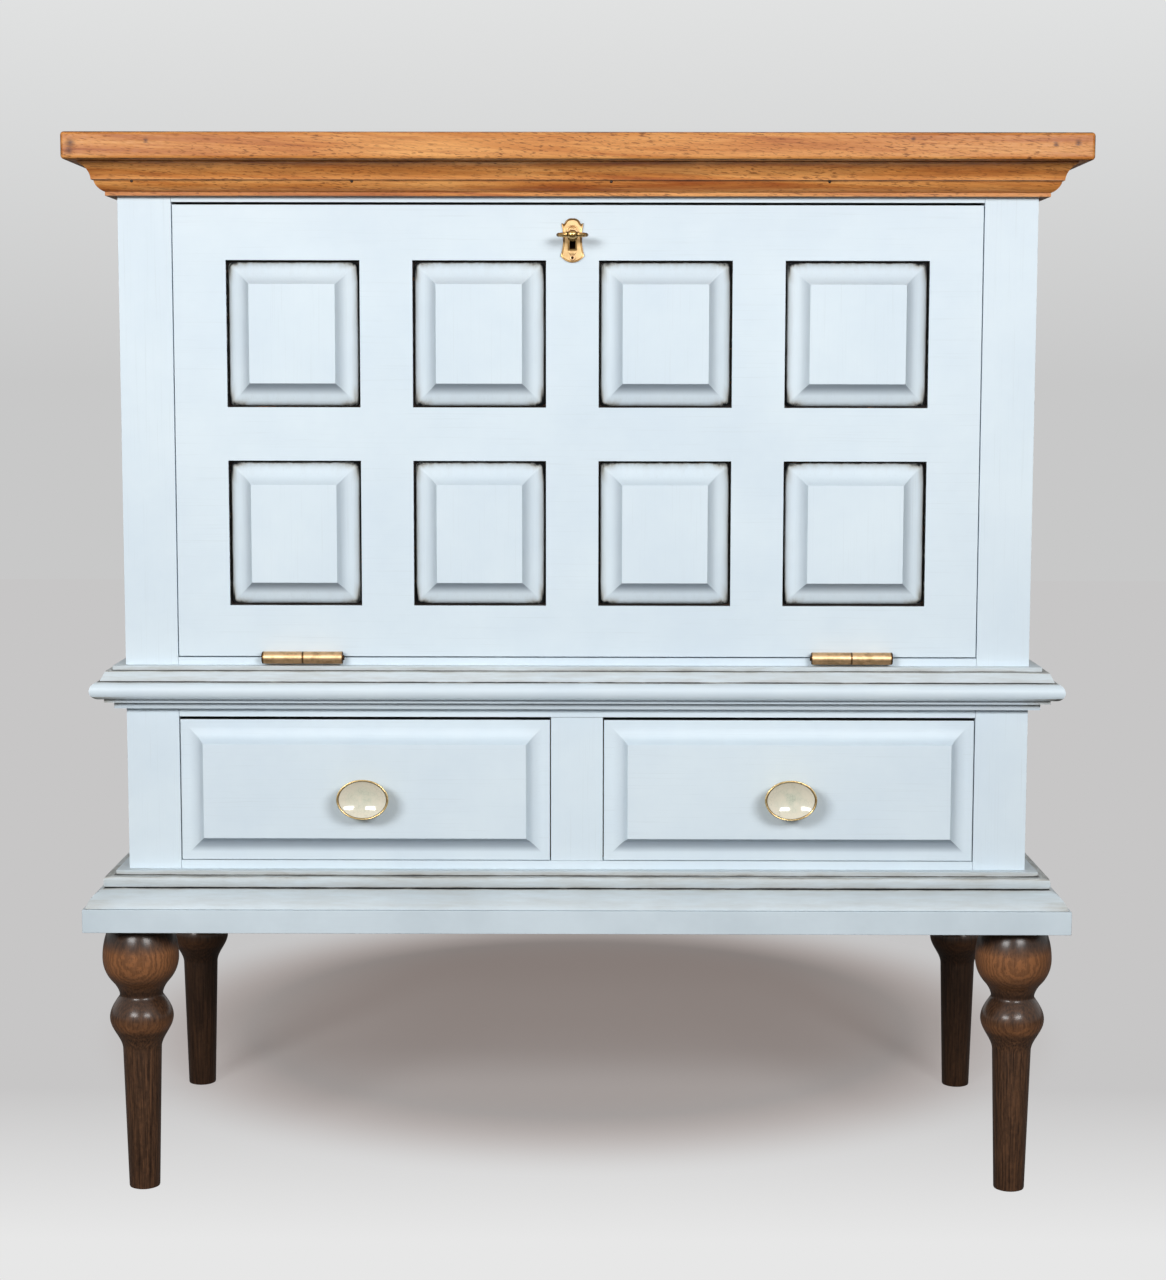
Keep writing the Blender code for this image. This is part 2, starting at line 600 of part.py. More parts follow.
def plinth_and_legs():
    half, front = HALF_WIDTH + PLINTH_OUT, FRONT - PLINTH_OUT
    plinth = piece("plinth_board", block("plinth_board", (-half, front, LEG_HEIGHT),
                                         (half, BACK, PLINTH_TOP)), BLUE_PAINT)
    leg_x = half - LEG_SIDE_INSET
    rows = ("front", front + LEG_END_INSET), ("rear", BACK - LEG_END_INSET)
    sides = ("left", -leg_x), ("right", leg_x)
    leg = leg_profile_mesh()
    socket_radius = LEG_TENON_RADIUS + FIT / math.cos(math.pi / LEG_FACETS)
    socket_top = LEG_HEIGHT + LEG_TENON_LENGTH + FIT
    for row, y in rows:
        for side, x in sides:
            turned_leg = piece("leg_" + row + "_" + side, leg, DARK_WOOD, location=(x, y, 0.0))
            lathe = turned_leg.modifiers.new("Lathe", "SCREW")
            lathe.axis = "Z"
            lathe.steps = LEG_FACETS
            lathe.render_steps = LEG_FACETS
            lathe.use_merge_vertices = True
            lathe.merge_threshold = 0.00001
            lathe.use_smooth_shade = True
            socket = [(0.0, socket_top), (socket_radius, socket_top), (socket_radius, LEG_HEIGHT - FIT),
                      (0.0, LEG_HEIGHT - FIT)]
            cut(plinth, moved(turned("leg_socket", socket, LEG_FACETS, "Z"), (x, y, 0.0)))


def leg_profile_mesh():
    """The leg's outline, from the tenon's end down to the foot, for turning round Z."""
    top = LEG_HEIGHT - FIT
    ball = LEG_HEIGHT - LEG_BALL_UPPER_LENGTH
    neck_top = ball - LEG_BALL_LOWER_LENGTH
    neck_foot = neck_top - LEG_NECK_LENGTH
    ring = neck_foot - LEG_RING_UPPER_LENGTH
    outline = [(0.0, LEG_HEIGHT + LEG_TENON_LENGTH), (LEG_TENON_RADIUS, LEG_HEIGHT + LEG_TENON_LENGTH),
               (LEG_TENON_RADIUS, top), (LEG_BALL_TOP_RADIUS, top)]
    # upper half of the ball, part of an ellipse that is cut off at the plinth
    upper_turn = math.acos(LEG_BALL_TOP_RADIUS / LEG_BALL_RADIUS)
    upper_height = (top - ball) / math.sin(upper_turn)
    upper_steps = 3
    for step in range(upper_steps - 1, -1, -1):
        turn = upper_turn * step / upper_steps
        outline.append((LEG_BALL_RADIUS * math.cos(turn), ball + upper_height * math.sin(turn)))
    # lower half of the ball, which runs out straight into the neck
    lower_turn = math.radians(LEG_BALL_LOWER_TURN)
    lower_steps = 4
    for step in range(1, lower_steps + 1):
        turn = lower_turn * step / lower_steps
        outline.append((LEG_BALL_RADIUS * math.cos(turn), ball - LEG_BALL_LOWER_LENGTH * math.sin(turn)))
    outline += [(LEG_NECK_RADIUS, neck_top), (LEG_NECK_RADIUS, neck_foot)]
    # ring: a quarter wave out from the neck, then half a wave in to the taper
    ring_swell = LEG_RING_RADIUS - LEG_NECK_RADIUS
    upper_steps = 4
    for step in range(1, upper_steps + 1):
        share = step / upper_steps
        outline.append((LEG_NECK_RADIUS + ring_swell * math.sin(math.pi / 2 * share),
                        neck_foot - LEG_RING_UPPER_LENGTH * share))
    taper_swell = LEG_RING_RADIUS - LEG_TAPER_TOP_RADIUS
    lower_steps = 6
    for step in range(1, lower_steps + 1):
        share = step / lower_steps
        outline.append((LEG_TAPER_TOP_RADIUS + taper_swell * (1.0 + math.cos(math.pi * share)) / 2,
                        ring - LEG_RING_LOWER_LENGTH * share))
    outline += [(LEG_FOOT_RADIUS, LEG_FOOT_CHAMFER), (LEG_FOOT_RADIUS - LEG_FOOT_CHAMFER, 0.0), (0.0, 0.0)]
    mesh = bpy.data.meshes.new("leg")
    mesh.from_pydata([(radius, 0.0, z) for radius, z in outline],
                     [(i, i + 1) for i in range(len(outline) - 1)], [])
    return mesh


# Hinges: the outer knuckle and the pin belong to the frame leaf, the inner knuckle to the flap's leaf

HINGE_OUTER = FALL_HALF - HINGE_INSET
HINGE_INNER = HINGE_OUTER - HINGE_LENGTH
HINGE_MIDDLE = (HINGE_OUTER + HINGE_INNER) / 2


def leaf_recess(name, side, way):
    """Cutter for a leaf's seat, measured from the hinge axis; way is 1 in the flap and -1 in the rail."""
    ends = side * (HINGE_OUTER + FIT), side * (HINGE_INNER - FIT)
    levels = 0.0, way * (HINGE_LEAF_THICKNESS + 1.5 * FIT)
    return block(name, (min(ends), -AXIS_OUT, min(levels)),
                 (max(ends), HINGE_LEAF_DEPTH + FIT, max(levels)))


def hinges(axis):
    place = {"frame": (None, (0.0, FRONT - AXIS_OUT, AXIS_Z)), "door": (axis, (0.0, 0.0, 0.0))}
    bore = HINGE_PIN_RADIUS + TURNING_GAP / math.cos(math.pi / HINGE_FACETS)
    rim = HINGE_BARREL_RADIUS - HINGE_BARREL_CHAMFER
    wall = (bore + HINGE_BARREL_RADIUS) / 2
    clear = HINGE_BARREL_RADIUS + 2 * FIT
    for hand, side in (("left", -1), ("right", 1)):
        outer, inner, middle = side * HINGE_OUTER, side * HINGE_INNER, side * HINGE_MIDDLE
        chamfer = side * HINGE_BARREL_CHAMFER
        frame_end, door_end = middle + side * FIT / 2, middle - side * FIT / 2
        tip = inner - side * HINGE_PIN_TIP
        pinned = [(0.0, outer), (rim, outer), (HINGE_BARREL_RADIUS, outer - chamfer),
                  (HINGE_BARREL_RADIUS, frame_end), (HINGE_PIN_RADIUS, frame_end),
                  (HINGE_PIN_RADIUS, tip), (0.0, tip)]
        tube = [(bore, door_end), (HINGE_BARREL_RADIUS, door_end), (HINGE_BARREL_RADIUS, inner + chamfer),
                (rim, inner), (bore, inner)]
        ends = sorted((outer - side * FIT, inner + side * FIT))
        for kind, profile, way, root in (("frame", pinned, -1, (outer - chamfer, frame_end)),
                                         ("door", tube, 1, (inner + chamfer, door_end))):
            parent, location = place[kind]
            name = "hinge_" + hand + "_" + kind + "_leaf"
            leaf = piece(name, turned(name, profile, HINGE_FACETS, "X"), BRASS, parent, location)
            levels = way * FIT / 2, way * (FIT / 2 + HINGE_LEAF_THICKNESS)
            outline = [(min(root), wall), (max(root), wall), (max(root), clear), (ends[1], clear),
                       (ends[1], HINGE_LEAF_DEPTH), (ends[0], HINGE_LEAF_DEPTH), (ends[0], clear),
                       (min(root), clear)]
            fuse(leaf, prism(name + "_plate", outline, min(levels), max(levels), ALONG_Z))


# Fall front, measured from the hinge axis

def columns():
    left = -FALL_HALF + FRAME_STILE_WIDTH
    for column in range(COLUMNS):
        width = PANEL_OPENING_WIDTH + (LAST_COLUMN_EXTRA if column == COLUMNS - 1 else 0.0)
        yield left, left + width
        left += width + FRAME_STILE_WIDTH


def panel_rows():
    top = FRAME_HIGH_Z - FRAME_TOP_RAIL
    for _ in range(ROWS):
        yield top - PANEL_OPENING_HEIGHT, top
        top -= PANEL_OPENING_HEIGHT + FRAME_MIDDLE_RAIL


def keyhole(play=0.0):
    radius, half = KEYHOLE_RADIUS + play, KEYHOLE_SLOT_WIDTH / 2 + play
    start = -math.acos(half / radius)
    steps = 10
    foot = KEY_Z - KEYHOLE_SLOT_DROP - play
    points = [(LOCK_X - half, foot), (LOCK_X + half, foot)]
    for step in range(steps + 1):
        turn = start + (math.pi - 2 * start) * step / steps
        points.append((LOCK_X + radius * math.cos(turn), KEY_Z + radius * math.sin(turn)))
    return points


def fall_front(axis):
    frame = piece("fall_frame", block("fall_frame", (-FALL_HALF, FACE_Y, FRAME_LOW_Z),
                                      (FALL_HALF, FRAME_BACK_Y, FRAME_HIGH_Z)), BLUE_PAINT, axis)
    cut_front, cut_back = FACE_Y - FRAME_THICKNESS, FRAME_BACK_Y + FRAME_THICKNESS
    for low, high in panel_rows():
        for left, right in columns():
            cut(frame, block("panel_opening", (left, cut_front, low), (right, cut_back, high)))
    cut(frame, prism("frame_keyhole", keyhole(LOCK_PLAY), cut_front, cut_back, ALONG_Y))
    notch = LOCK_CASE_WIDTH / 2 + FIT
    notch_low = LOCK_LOW_Z - FIT
    board = [(-FALL_HALF, FRAME_LOW_Z), (FALL_HALF, FRAME_LOW_Z), (FALL_HALF, FRAME_HIGH_Z),
             (LOCK_X + notch, FRAME_HIGH_Z), (LOCK_X + notch, notch_low), (LOCK_X - notch, notch_low),
             (LOCK_X - notch, FRAME_HIGH_Z), (-FALL_HALF, FRAME_HIGH_Z)]
    worktop = piece("fall_worktop", prism("fall_worktop", board, WORKTOP_Y, INNER_Y, ALONG_Y), HONEY_WOOD,
                    axis)
    for side in (-1, 1):
        cut(frame, leaf_recess("frame_recess", side, 1))
        cut(worktop, leaf_recess("worktop_recess", side, 1))

    margin_end = PANEL_MARGIN_WIDTH, PANEL_MARGIN_HEIGHT
    cove_top = PANEL_FIELD_INSET - PANEL_BEVEL_WIDTH, PANEL_FIELD_HEIGHT - PANEL_BEVEL_HEIGHT
    steps = arc((0.0, PANEL_EDGE_HEIGHT), (PANEL_ROUND_WIDTH, PANEL_MARGIN_HEIGHT), PANEL_ROUND_SWELL, 3)
    steps.append(margin_end)
    steps += arc(margin_end, cove_top, -PANEL_COVE_HOLLOW, 3)
    steps.append((PANEL_FIELD_INSET, PANEL_FIELD_HEIGHT))
    for row, (low, high) in enumerate(panel_rows(), start=1):
        for column, (left, right) in enumerate(columns(), start=1):
            name = "fall_panel_%d_%d" % (row, column)
            mesh = raised_front(name, right - left - 2 * PANEL_GAP, high - low - 2 * PANEL_GAP,
                                FRAME_BACK_Y, PANEL_EDGE_HEIGHT, steps)
            piece(name, mesh, BLUE_PAINT, axis, ((left + right) / 2, 0.0, (low + high) / 2))


# Stays: quarter rings about the hinge axis, fixed to the flap, with a stop that catches behind the stile

STAY_OUTER = HALF_OPENING - STAY_SIDE_GAP
STAY_INNER = STAY_OUTER - STAY_BAR_THICKNESS
STAY_STOP_END = HALF_OPENING + STAY_CATCH


def stay_ring(inner, outer, start, end_points):
    steps = 22
    outline = []
    for radius, stop, order in ((outer, end_points[1], 1), (inner, end_points[0], -1)):
        turns = [start + (stop - start) * step / steps for step in range(steps + 1)][::order]
        outline += [(radius * math.cos(turn), radius * math.sin(turn)) for turn in turns]
    return outline


def stays(axis):
    inner, outer = STAY_RADIUS - STAY_BAR_HEIGHT / 2, STAY_RADIUS + STAY_BAR_HEIGHT / 2
    stop_front = math.acos((AXIS_OUT + STILE_THICKNESS + FIT) / inner) - math.pi / 2
    tail = stop_front - STAY_STOP_THICKNESS / STAY_RADIUS
    foot_y = INNER_Y + FIT
    seat = foot_y + STAY_FOOT_THICKNESS / 2
    bar = stay_ring(inner, outer, tail, (math.acos(seat / inner), math.acos(seat / outer)))
    nip = STAY_BAR_HEIGHT / 40
    stop = stay_ring(inner + nip, outer - nip, tail + nip / STAY_RADIUS, (stop_front, stop_front))
    for hand, side in (("left", -1), ("right", 1)):
        name = "stay_" + hand
        faces = sorted((side * STAY_INNER, side * STAY_OUTER))
        stay = piece(name, prism(name, bar, *faces, ALONG_X), BRASS, axis)
        reach = sorted((side * (STAY_OUTER - STAY_BAR_THICKNESS / 2), side * STAY_STOP_END))
        fuse(stay, prism(name + "_stop", stop, *reach, ALONG_X))
        width = sorted((side * (STAY_OUTER - nip), side * (STAY_OUTER - STAY_FOOT_WIDTH)))
        middle = math.sqrt(STAY_RADIUS ** 2 - seat ** 2)
        fuse(stay, block(name + "_foot", (width[0], foot_y, middle - STAY_FOOT_LENGTH / 2),
                         (width[1], foot_y + STAY_FOOT_THICKNESS, middle + STAY_FOOT_LENGTH / 2)))


# Lock: a key that turns lifts the bolt out of the case into the top rail

def lock(axis):
    half, low, high = LOCK_CASE_WIDTH / 2, LOCK_LOW_Z, LOCK_HIGH_Z
    case = piece("lock_case", block("lock_case", (LOCK_X - half, WORKTOP_Y, low),
                                    (LOCK_X + half, INNER_Y, high)), STEEL, axis)
    cut(case, block("case_hollow", (LOCK_X - half + LOCK_WALL, WORKTOP_Y + LOCK_WALL, low + LOCK_WALL),
                    (LOCK_X + half - LOCK_WALL, INNER_Y - LOCK_WALL, high - LOCK_WALL)))
    slot_half, slot_depth = BOLT_WIDTH / 2 + FIT, BOLT_THICKNESS / 2 + FIT
    cut(case, block("bolt_slot", (LOCK_X - slot_half, BOLT_Y - slot_depth, high - 2 * LOCK_WALL),
                    (LOCK_X + slot_half, BOLT_Y + slot_depth, high + LOCK_WALL)))
    cut(case, prism("case_keyhole", keyhole(), WORKTOP_Y - LOCK_WALL, WORKTOP_Y + 2 * LOCK_WALL, ALONG_Y))

    # the bolt's window clears the turning bit, and its foot stays under the shaft when the bolt is thrown
    window_high = KEY_Z + KEY_SHAFT_RADIUS + LOCK_PLAY + FIT
    window_half = KEY_BIT_REACH + BOLT_WINDOW_PLAY
    frame_half = window_half + BOLT_FRAME_RIM
    frame_low, frame_high = BOLT_WINDOW_LOW - BOLT_FRAME_RIM, window_high + BOLT_FRAME_RIM
    bolt_half = BOLT_WIDTH / 2
    rim = [(-frame_half, frame_low), (frame_half, frame_low), (frame_half, frame_high),
           (bolt_half, frame_high), (bolt_half, high), (-bolt_half, high), (-bolt_half, frame_high),
           (-frame_half, frame_high)]
    window = [(-window_half, BOLT_WINDOW_LOW), (window_half, BOLT_WINDOW_LOW), (window_half, window_high),
              (-window_half, window_high)]
    outlines = [[(LOCK_X + x, z) for x, z in outline] for outline in (rim, window)]
    piece("lock_bolt", plate("lock_bolt", outlines, BOLT_Y - BOLT_THICKNESS / 2, BOLT_Y + BOLT_THICKNESS / 2),
          STEEL, axis)
    piece("escutcheon", plate("escutcheon", [escutcheon_outline(), keyhole()],
                              FACE_Y - FIT - ESCUTCHEON_THICKNESS, FACE_Y - FIT), BRASS, axis)


def escutcheon_outline():
    """Right half from the crown down to the foot, then its mirror image back up."""
    top = KEY_Z + ESCUTCHEON_ABOVE_KEY
    foot = top - ESCUTCHEON_HEIGHT
    crown_end = ESCUTCHEON_CROWN_HALF, top - ESCUTCHEON_CROWN_DROP
    horn = ESCUTCHEON_HORN_HALF, crown_end[1]
    waist = ESCUTCHEON_WAIST_HALF, (top + foot) / 2
    corner = ESCUTCHEON_FOOT_HALF, foot + ESCUTCHEON_FOOT_RISE
    half = [(0.0, top)] + arc((0.0, top), crown_end, ESCUTCHEON_CROWN_SWELL, 5)
    half += [(crown_end[0] + ESCUTCHEON_NOTCH, crown_end[1] - ESCUTCHEON_NOTCH), horn]
    half += arc(horn, waist, -ESCUTCHEON_SIDE_HOLLOW, 3)
    half += arc(waist, corner, -ESCUTCHEON_SIDE_HOLLOW, 4)
    half += arc(corner, (0.0, foot), ESCUTCHEON_FOOT_SWELL, 5)
    return [(LOCK_X + x, z) for x, z in half] + [(LOCK_X - x, z) for x, z in half[-2:0:-1]]


def key(axis):
    """The key, measured from its own axis at the flap's face; its bow lies level and its bit to the left."""
    centre = empty("key_axis", (LOCK_X, FACE_Y, KEY_Z), axis)
    plate_face = FIT + ESCUTCHEON_THICKNESS
    collar_near = plate_face + KEY_COLLAR_OUT
    collar_far = collar_near + KEY_COLLAR_LENGTH
    bow_near = plate_face + KEY_STEM_OUT
    inner_end = FACE_Y - INNER_Y + LOCK_WALL + LOCK_PLAY
    shaft = [(0.0, inner_end), (KEY_SHAFT_RADIUS, inner_end), (KEY_SHAFT_RADIUS, collar_near),
             (KEY_COLLAR_RADIUS, collar_near + KEY_COLLAR_LENGTH / 4),
             (KEY_COLLAR_RADIUS, collar_far - KEY_COLLAR_LENGTH / 4), (KEY_SHAFT_RADIUS, collar_far),
             (KEY_SHAFT_RADIUS, bow_near + KEY_BOW_BAR / 2), (0.0, bow_near + KEY_BOW_BAR / 2)]
    body = piece("key", turned("key", shaft, KEY_FACETS, "-Y"), BRASS, centre)
    fuse(body, key_bow(bow_near + KEY_BOW_LENGTH / 2))
    bit_y = BOLT_Y - FACE_Y
    half_bit = KEY_BIT_THICKNESS / 2
    fuse(body, block("key_bit", (-KEY_BIT_REACH, bit_y - BOLT_THICKNESS / 2, -half_bit),
                     (0.0, bit_y + BOLT_THICKNESS / 2, half_bit)))


def key_bow(out):
    """An oval ring of round bar, lying level."""
    bm = bmesh.new()
    sides = 10
    section = []
    for side in range(sides):
        turn = 2 * math.pi * side / sides
        section.append(bm.verts.new((1.0 + 0.5 * math.cos(turn), 0.0, 0.5 * math.sin(turn))))
    edges = [bm.edges.new((section[i - 1], section[i])) for i in range(sides)]
    bmesh.ops.spin(bm, geom=section + edges, cent=(0, 0, 0), axis=(0, 0, 1), angle=2 * math.pi,
                   steps=2 * KEY_FACETS, use_merge=True)
    bmesh.ops.remove_doubles(bm, verts=bm.verts, dist=0.00001)
    across, along = (KEY_BOW_WIDTH - KEY_BOW_BAR) / 2, (KEY_BOW_LENGTH - KEY_BOW_BAR) / 2
    for vert in bm.verts:
        ring = math.hypot(vert.co.x, vert.co.y)
        way_x, way_y = vert.co.x / ring, vert.co.y / ring
        swell = (ring - 1.0) * KEY_BOW_BAR
        vert.co = (way_x * (across + swell), way_y * (along + swell) - out, vert.co.z * KEY_BOW_BAR)
    return mesh_from(bm, "key_bow", math.radians(60))


# Drawers, each measured from the middle of its front's foot

def drawer(hand, side):
    name = "drawer_" + hand
    place = empty(name + "_slide", (side * DRAWER_X, FRONT, DRAWER_LOW + DRAWER_BOTTOM_GAP))
    cove_top = DRAWER_FIELD_INSET - DRAWER_BEVEL_WIDTH, DRAWER_FIELD_HEIGHT - DRAWER_BEVEL_HEIGHT
    steps = [(DRAWER_MARGIN_WIDTH, 0.0)]
    steps += arc(steps[0], cove_top, -DRAWER_COVE_HOLLOW, 4)
    steps.append((DRAWER_FIELD_INSET, DRAWER_FIELD_HEIGHT))
    raised = [(inset, level + DRAWER_FRONT_THICKNESS) for inset, level in steps]
    front_mesh = raised_front(name + "_front", DRAWER_WIDTH, DRAWER_FRONT_HEIGHT, DRAWER_FRONT_THICKNESS,
                              DRAWER_FRONT_THICKNESS, raised)
    front = piece(name + "_front", moved(front_mesh, (0.0, 0.0, DRAWER_FRONT_HEIGHT / 2)), BLUE_PAINT, place)

    rise, groove = DRAWER_BOTTOM_RISE, DRAWER_GROOVE_DEPTH
    groove_top = rise + DRAWER_BOTTOM_THICKNESS + 2 * FIT
    inner = DRAWER_BOX_HALF - DRAWER_WALL
    for suffix, hand_side in (("_side_left", -1), ("_side_right", 1)):
        section = [(inner, 0.0), (DRAWER_BOX_HALF, 0.0), (DRAWER_BOX_HALF, DRAWER_BOX_HEIGHT),
                   (inner, DRAWER_BOX_HEIGHT), (inner, groove_top), (inner + groove, groove_top),
                   (inner + groove, rise), (inner, rise)]
        section = [(hand_side * x, z) for x, z in section]
        piece(name + suffix, prism(name + suffix, section, DRAWER_BOX_START, DRAWER_BOX_END, ALONG_Y),
              PLAIN_WOOD, place)
    piece(name + "_back", block(name + "_back", (FIT - inner, DRAWER_BOX_END - DRAWER_WALL, groove_top),
                                (inner - FIT, DRAWER_BOX_END, DRAWER_BOX_HEIGHT)), PLAIN_WOOD, place)
    bottom_half = inner + groove - FIT
    piece(name + "_bottom", block(name + "_bottom",
                                  (-bottom_half, DRAWER_FRONT_THICKNESS - groove + FIT, rise + FIT),
                                  (bottom_half, DRAWER_BOX_END, rise + FIT + DRAWER_BOTTOM_THICKNESS)),
          PLAIN_WOOD, place)
    cut(front, block(name + "_groove", (-inner - groove, DRAWER_FRONT_THICKNESS - groove, rise),
                     (inner + groove, DRAWER_FRONT_THICKNESS + groove, groove_top)))
    hole = KNOB_SPIGOT_RADIUS + FIT / math.cos(math.pi / KNOB_FACETS)
    through = [(0.0, -2 * DRAWER_FRONT_THICKNESS), (hole, -2 * DRAWER_FRONT_THICKNESS),
               (hole, 2 * DRAWER_FRONT_THICKNESS), (0.0, 2 * DRAWER_FRONT_THICKNESS)]
    cut(front, moved(turned(name + "_hole", through, KNOB_FACETS, "-Y"), (0.0, 0.0, KNOB_Z)))
    piece(name + "_knob", knob_mesh(name + "_knob"), GILT, place, (0.0, -DRAWER_FIELD_HEIGHT, KNOB_Z))


def knob_mesh(name):
    """A round foot and neck under an oval cup with a dished face; the spigot runs back through the front."""
    half = KNOB_HEIGHT / 2
    spigot_end = FIT - DRAWER_FRONT_THICKNESS - DRAWER_FIELD_HEIGHT
    neck_start = KNOB_FOOT_THICKNESS + KNOB_FLARE_LENGTH
    neck_end = neck_start + KNOB_NECK_LENGTH
    cup_start = neck_end + KNOB_SHOULDER_LENGTH
    rim_start = cup_start + KNOB_CUP_DEPTH
    rim_end = rim_start + KNOB_RIM_DEPTH
    lip = KNOB_RIM_WIDTH / 3
    dish_edge = half - KNOB_RIM_WIDTH, rim_end - KNOB_RIM_SINK
    profile = [(0.0, spigot_end), (KNOB_SPIGOT_RADIUS, spigot_end), (KNOB_SPIGOT_RADIUS, FIT),
               (KNOB_FOOT_RADIUS, FIT), (KNOB_FOOT_RADIUS, KNOB_FOOT_THICKNESS),
               (KNOB_NECK_RADIUS, neck_start), (KNOB_NECK_RADIUS, neck_end), (KNOB_SHOULDER_HALF, cup_start),
               (half - lip, rim_start - lip), (half, rim_start), (half, rim_end - lip), (half - lip, rim_end),
               dish_edge]
    profile += arc(dish_edge, (0.0, dish_edge[1] - KNOB_DISH_DEPTH), KNOB_DISH_SWELL, 5)
    mesh = turned(name, profile, KNOB_FACETS, "-Y")
    oval = KNOB_WIDTH / KNOB_HEIGHT
    for vert in mesh.vertices:
        share = (-vert.co.y - neck_end) / KNOB_SHOULDER_LENGTH
        vert.co.x *= 1.0 + (oval - 1.0) * min(max(share, 0.0), 1.0)
    return mesh


def runners():
    start, end = FRONT + STILE_THICKNESS + FIT, INNER_BACK - FIT
    top = DRAWER_LOW + DRAWER_BOTTOM_GAP - FIT
    low = top - RUNNER_HEIGHT
    guide = top + GUIDE_HEIGHT
    outer, wall = HALF_OPENING, INNER_HALF - FIT
    for hand, side in (("left", -1), ("right", 1)):
        section = [(outer - RUNNER_BEARING, low), (wall, low), (wall, guide), (outer, guide), (outer, top),
                   (outer - RUNNER_BEARING, top)]
        name = "runner_" + hand
        piece(name, prism(name, [(side * x, z) for x, z in section], start, end, ALONG_Y), PLAIN_WOOD)
    middle, bearing = MULLION_WIDTH / 2, MULLION_WIDTH / 2 + RUNNER_BEARING
    section = [(-bearing, low), (bearing, low), (bearing, top), (middle, top), (middle, guide),
               (-middle, guide), (-middle, top), (-bearing, top)]
    piece("runner_centre", prism("runner_centre", section, start, end, ALONG_Y), PLAIN_WOOD)


carcass()
moulding("cornice", cornice_profile(), CORNICE_LOW, HONEY_WOOD)
moulding("waist_moulding", waist_profile(), WAIST_LOW, BLUE_PAINT)
moulding("base_moulding", base_profile(), PLINTH_TOP + FIT, BLUE_PAINT)
plinth_and_legs()
fall_axis = empty("fall_front_axis", (0.0, FRONT - AXIS_OUT, AXIS_Z))
hinges(fall_axis)
fall_front(fall_axis)
stays(fall_axis)
lock(fall_axis)
key(fall_axis)
runners()
drawer("left", -1)
drawer("right", 1)
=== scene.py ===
import json
import math
from functools import partial

import bmesh
import bpy
from mathutils import Matrix, Vector

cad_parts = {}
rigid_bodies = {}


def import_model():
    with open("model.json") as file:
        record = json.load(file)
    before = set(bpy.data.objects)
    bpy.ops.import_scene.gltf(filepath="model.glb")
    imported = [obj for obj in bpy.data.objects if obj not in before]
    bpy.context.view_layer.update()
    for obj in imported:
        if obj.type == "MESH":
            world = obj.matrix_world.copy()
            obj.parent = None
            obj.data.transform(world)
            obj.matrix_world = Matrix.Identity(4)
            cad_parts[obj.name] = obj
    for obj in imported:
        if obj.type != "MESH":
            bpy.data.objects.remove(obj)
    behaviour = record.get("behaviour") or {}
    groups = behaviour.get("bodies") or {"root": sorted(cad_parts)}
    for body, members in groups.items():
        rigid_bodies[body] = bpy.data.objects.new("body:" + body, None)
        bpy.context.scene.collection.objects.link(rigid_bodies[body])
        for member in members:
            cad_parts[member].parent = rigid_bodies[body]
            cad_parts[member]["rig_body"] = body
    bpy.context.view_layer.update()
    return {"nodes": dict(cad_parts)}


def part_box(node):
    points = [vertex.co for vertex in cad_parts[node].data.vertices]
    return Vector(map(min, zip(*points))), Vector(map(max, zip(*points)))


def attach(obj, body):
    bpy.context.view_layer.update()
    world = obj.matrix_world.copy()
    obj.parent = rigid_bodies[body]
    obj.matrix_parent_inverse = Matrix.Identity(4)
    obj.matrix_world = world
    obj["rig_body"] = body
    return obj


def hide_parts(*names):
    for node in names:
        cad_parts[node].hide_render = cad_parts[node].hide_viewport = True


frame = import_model()
nodes = frame["nodes"]
mm = 0.001
print("frame loaded:", len(nodes), "solids")

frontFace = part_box("stile_left")[0].y  # the carcass's painted front
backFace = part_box("side_panel_left")[1].y
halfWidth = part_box("stile_right")[1].x
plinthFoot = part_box("plinth_board")[0].z  # where the legs start
hands = "left", "right"


# materials

def srgb(code):
    channels = [int(code[i:i + 2], 16) / 255 for i in (1, 3, 5)]
    return [c / 12.92 if c <= 0.04045 else ((c + 0.055) / 1.055) ** 2.4 for c in channels] + [1.0]


def addNode(material, kind, inputs=(), output=0, ramp=None, **settings):
    tree = material.node_tree
    node = tree.nodes.new("ShaderNode" + kind)
    for key, value in settings.items():
        setattr(node, key, value)
    if ramp:
        stops = node.color_ramp.elements
        stops[0].position, stops[-1].position = ramp[0][0], ramp[-1][0]
        for place, tone in ramp[1:-1]:
            stops.new(place)
        for stop, (place, tone) in zip(stops, ramp):
            stop.color = srgb(tone) if isinstance(tone, str) else (tone, tone, tone, 1.0)
    for key, value in inputs.items() if isinstance(inputs, dict) else enumerate(inputs):
        if isinstance(value, bpy.types.NodeSocket):
            tree.links.new(value, node.inputs[key])
        else:
            node.inputs[key].default_value = srgb(value) if isinstance(value, str) else value
    return node.outputs[output]


def newMaterial(name, **sockets):
    material = bpy.data.materials.new(name)
    material.use_nodes = True
    shader = material.node_tree.nodes["Principled BSDF"]
    for key, value in sockets.items():
        shader.inputs[key.replace("_", " ")].default_value = value
    return material, partial(addNode, material)


def finished(material, tone, coats, rough, height, strength, depth, invert=False):
    for amount, colour in coats:  # each coat covers what is under it by its amount
        tone = addNode(material, "Mix", {0: amount, 6: tone, 7: colour}, 2, data_type="RGBA")
    bump = addNode(material, "Bump", {"Height": height, "Strength": strength, "Distance": depth * mm},
                   invert=invert)
    shader = material.node_tree.nodes["Principled BSDF"]
    for key, value in (("Base Color", tone), ("Roughness", rough), ("Normal", bump)):
        if value is not None:
            material.node_tree.links.new(value, shader.inputs[key])
    return material


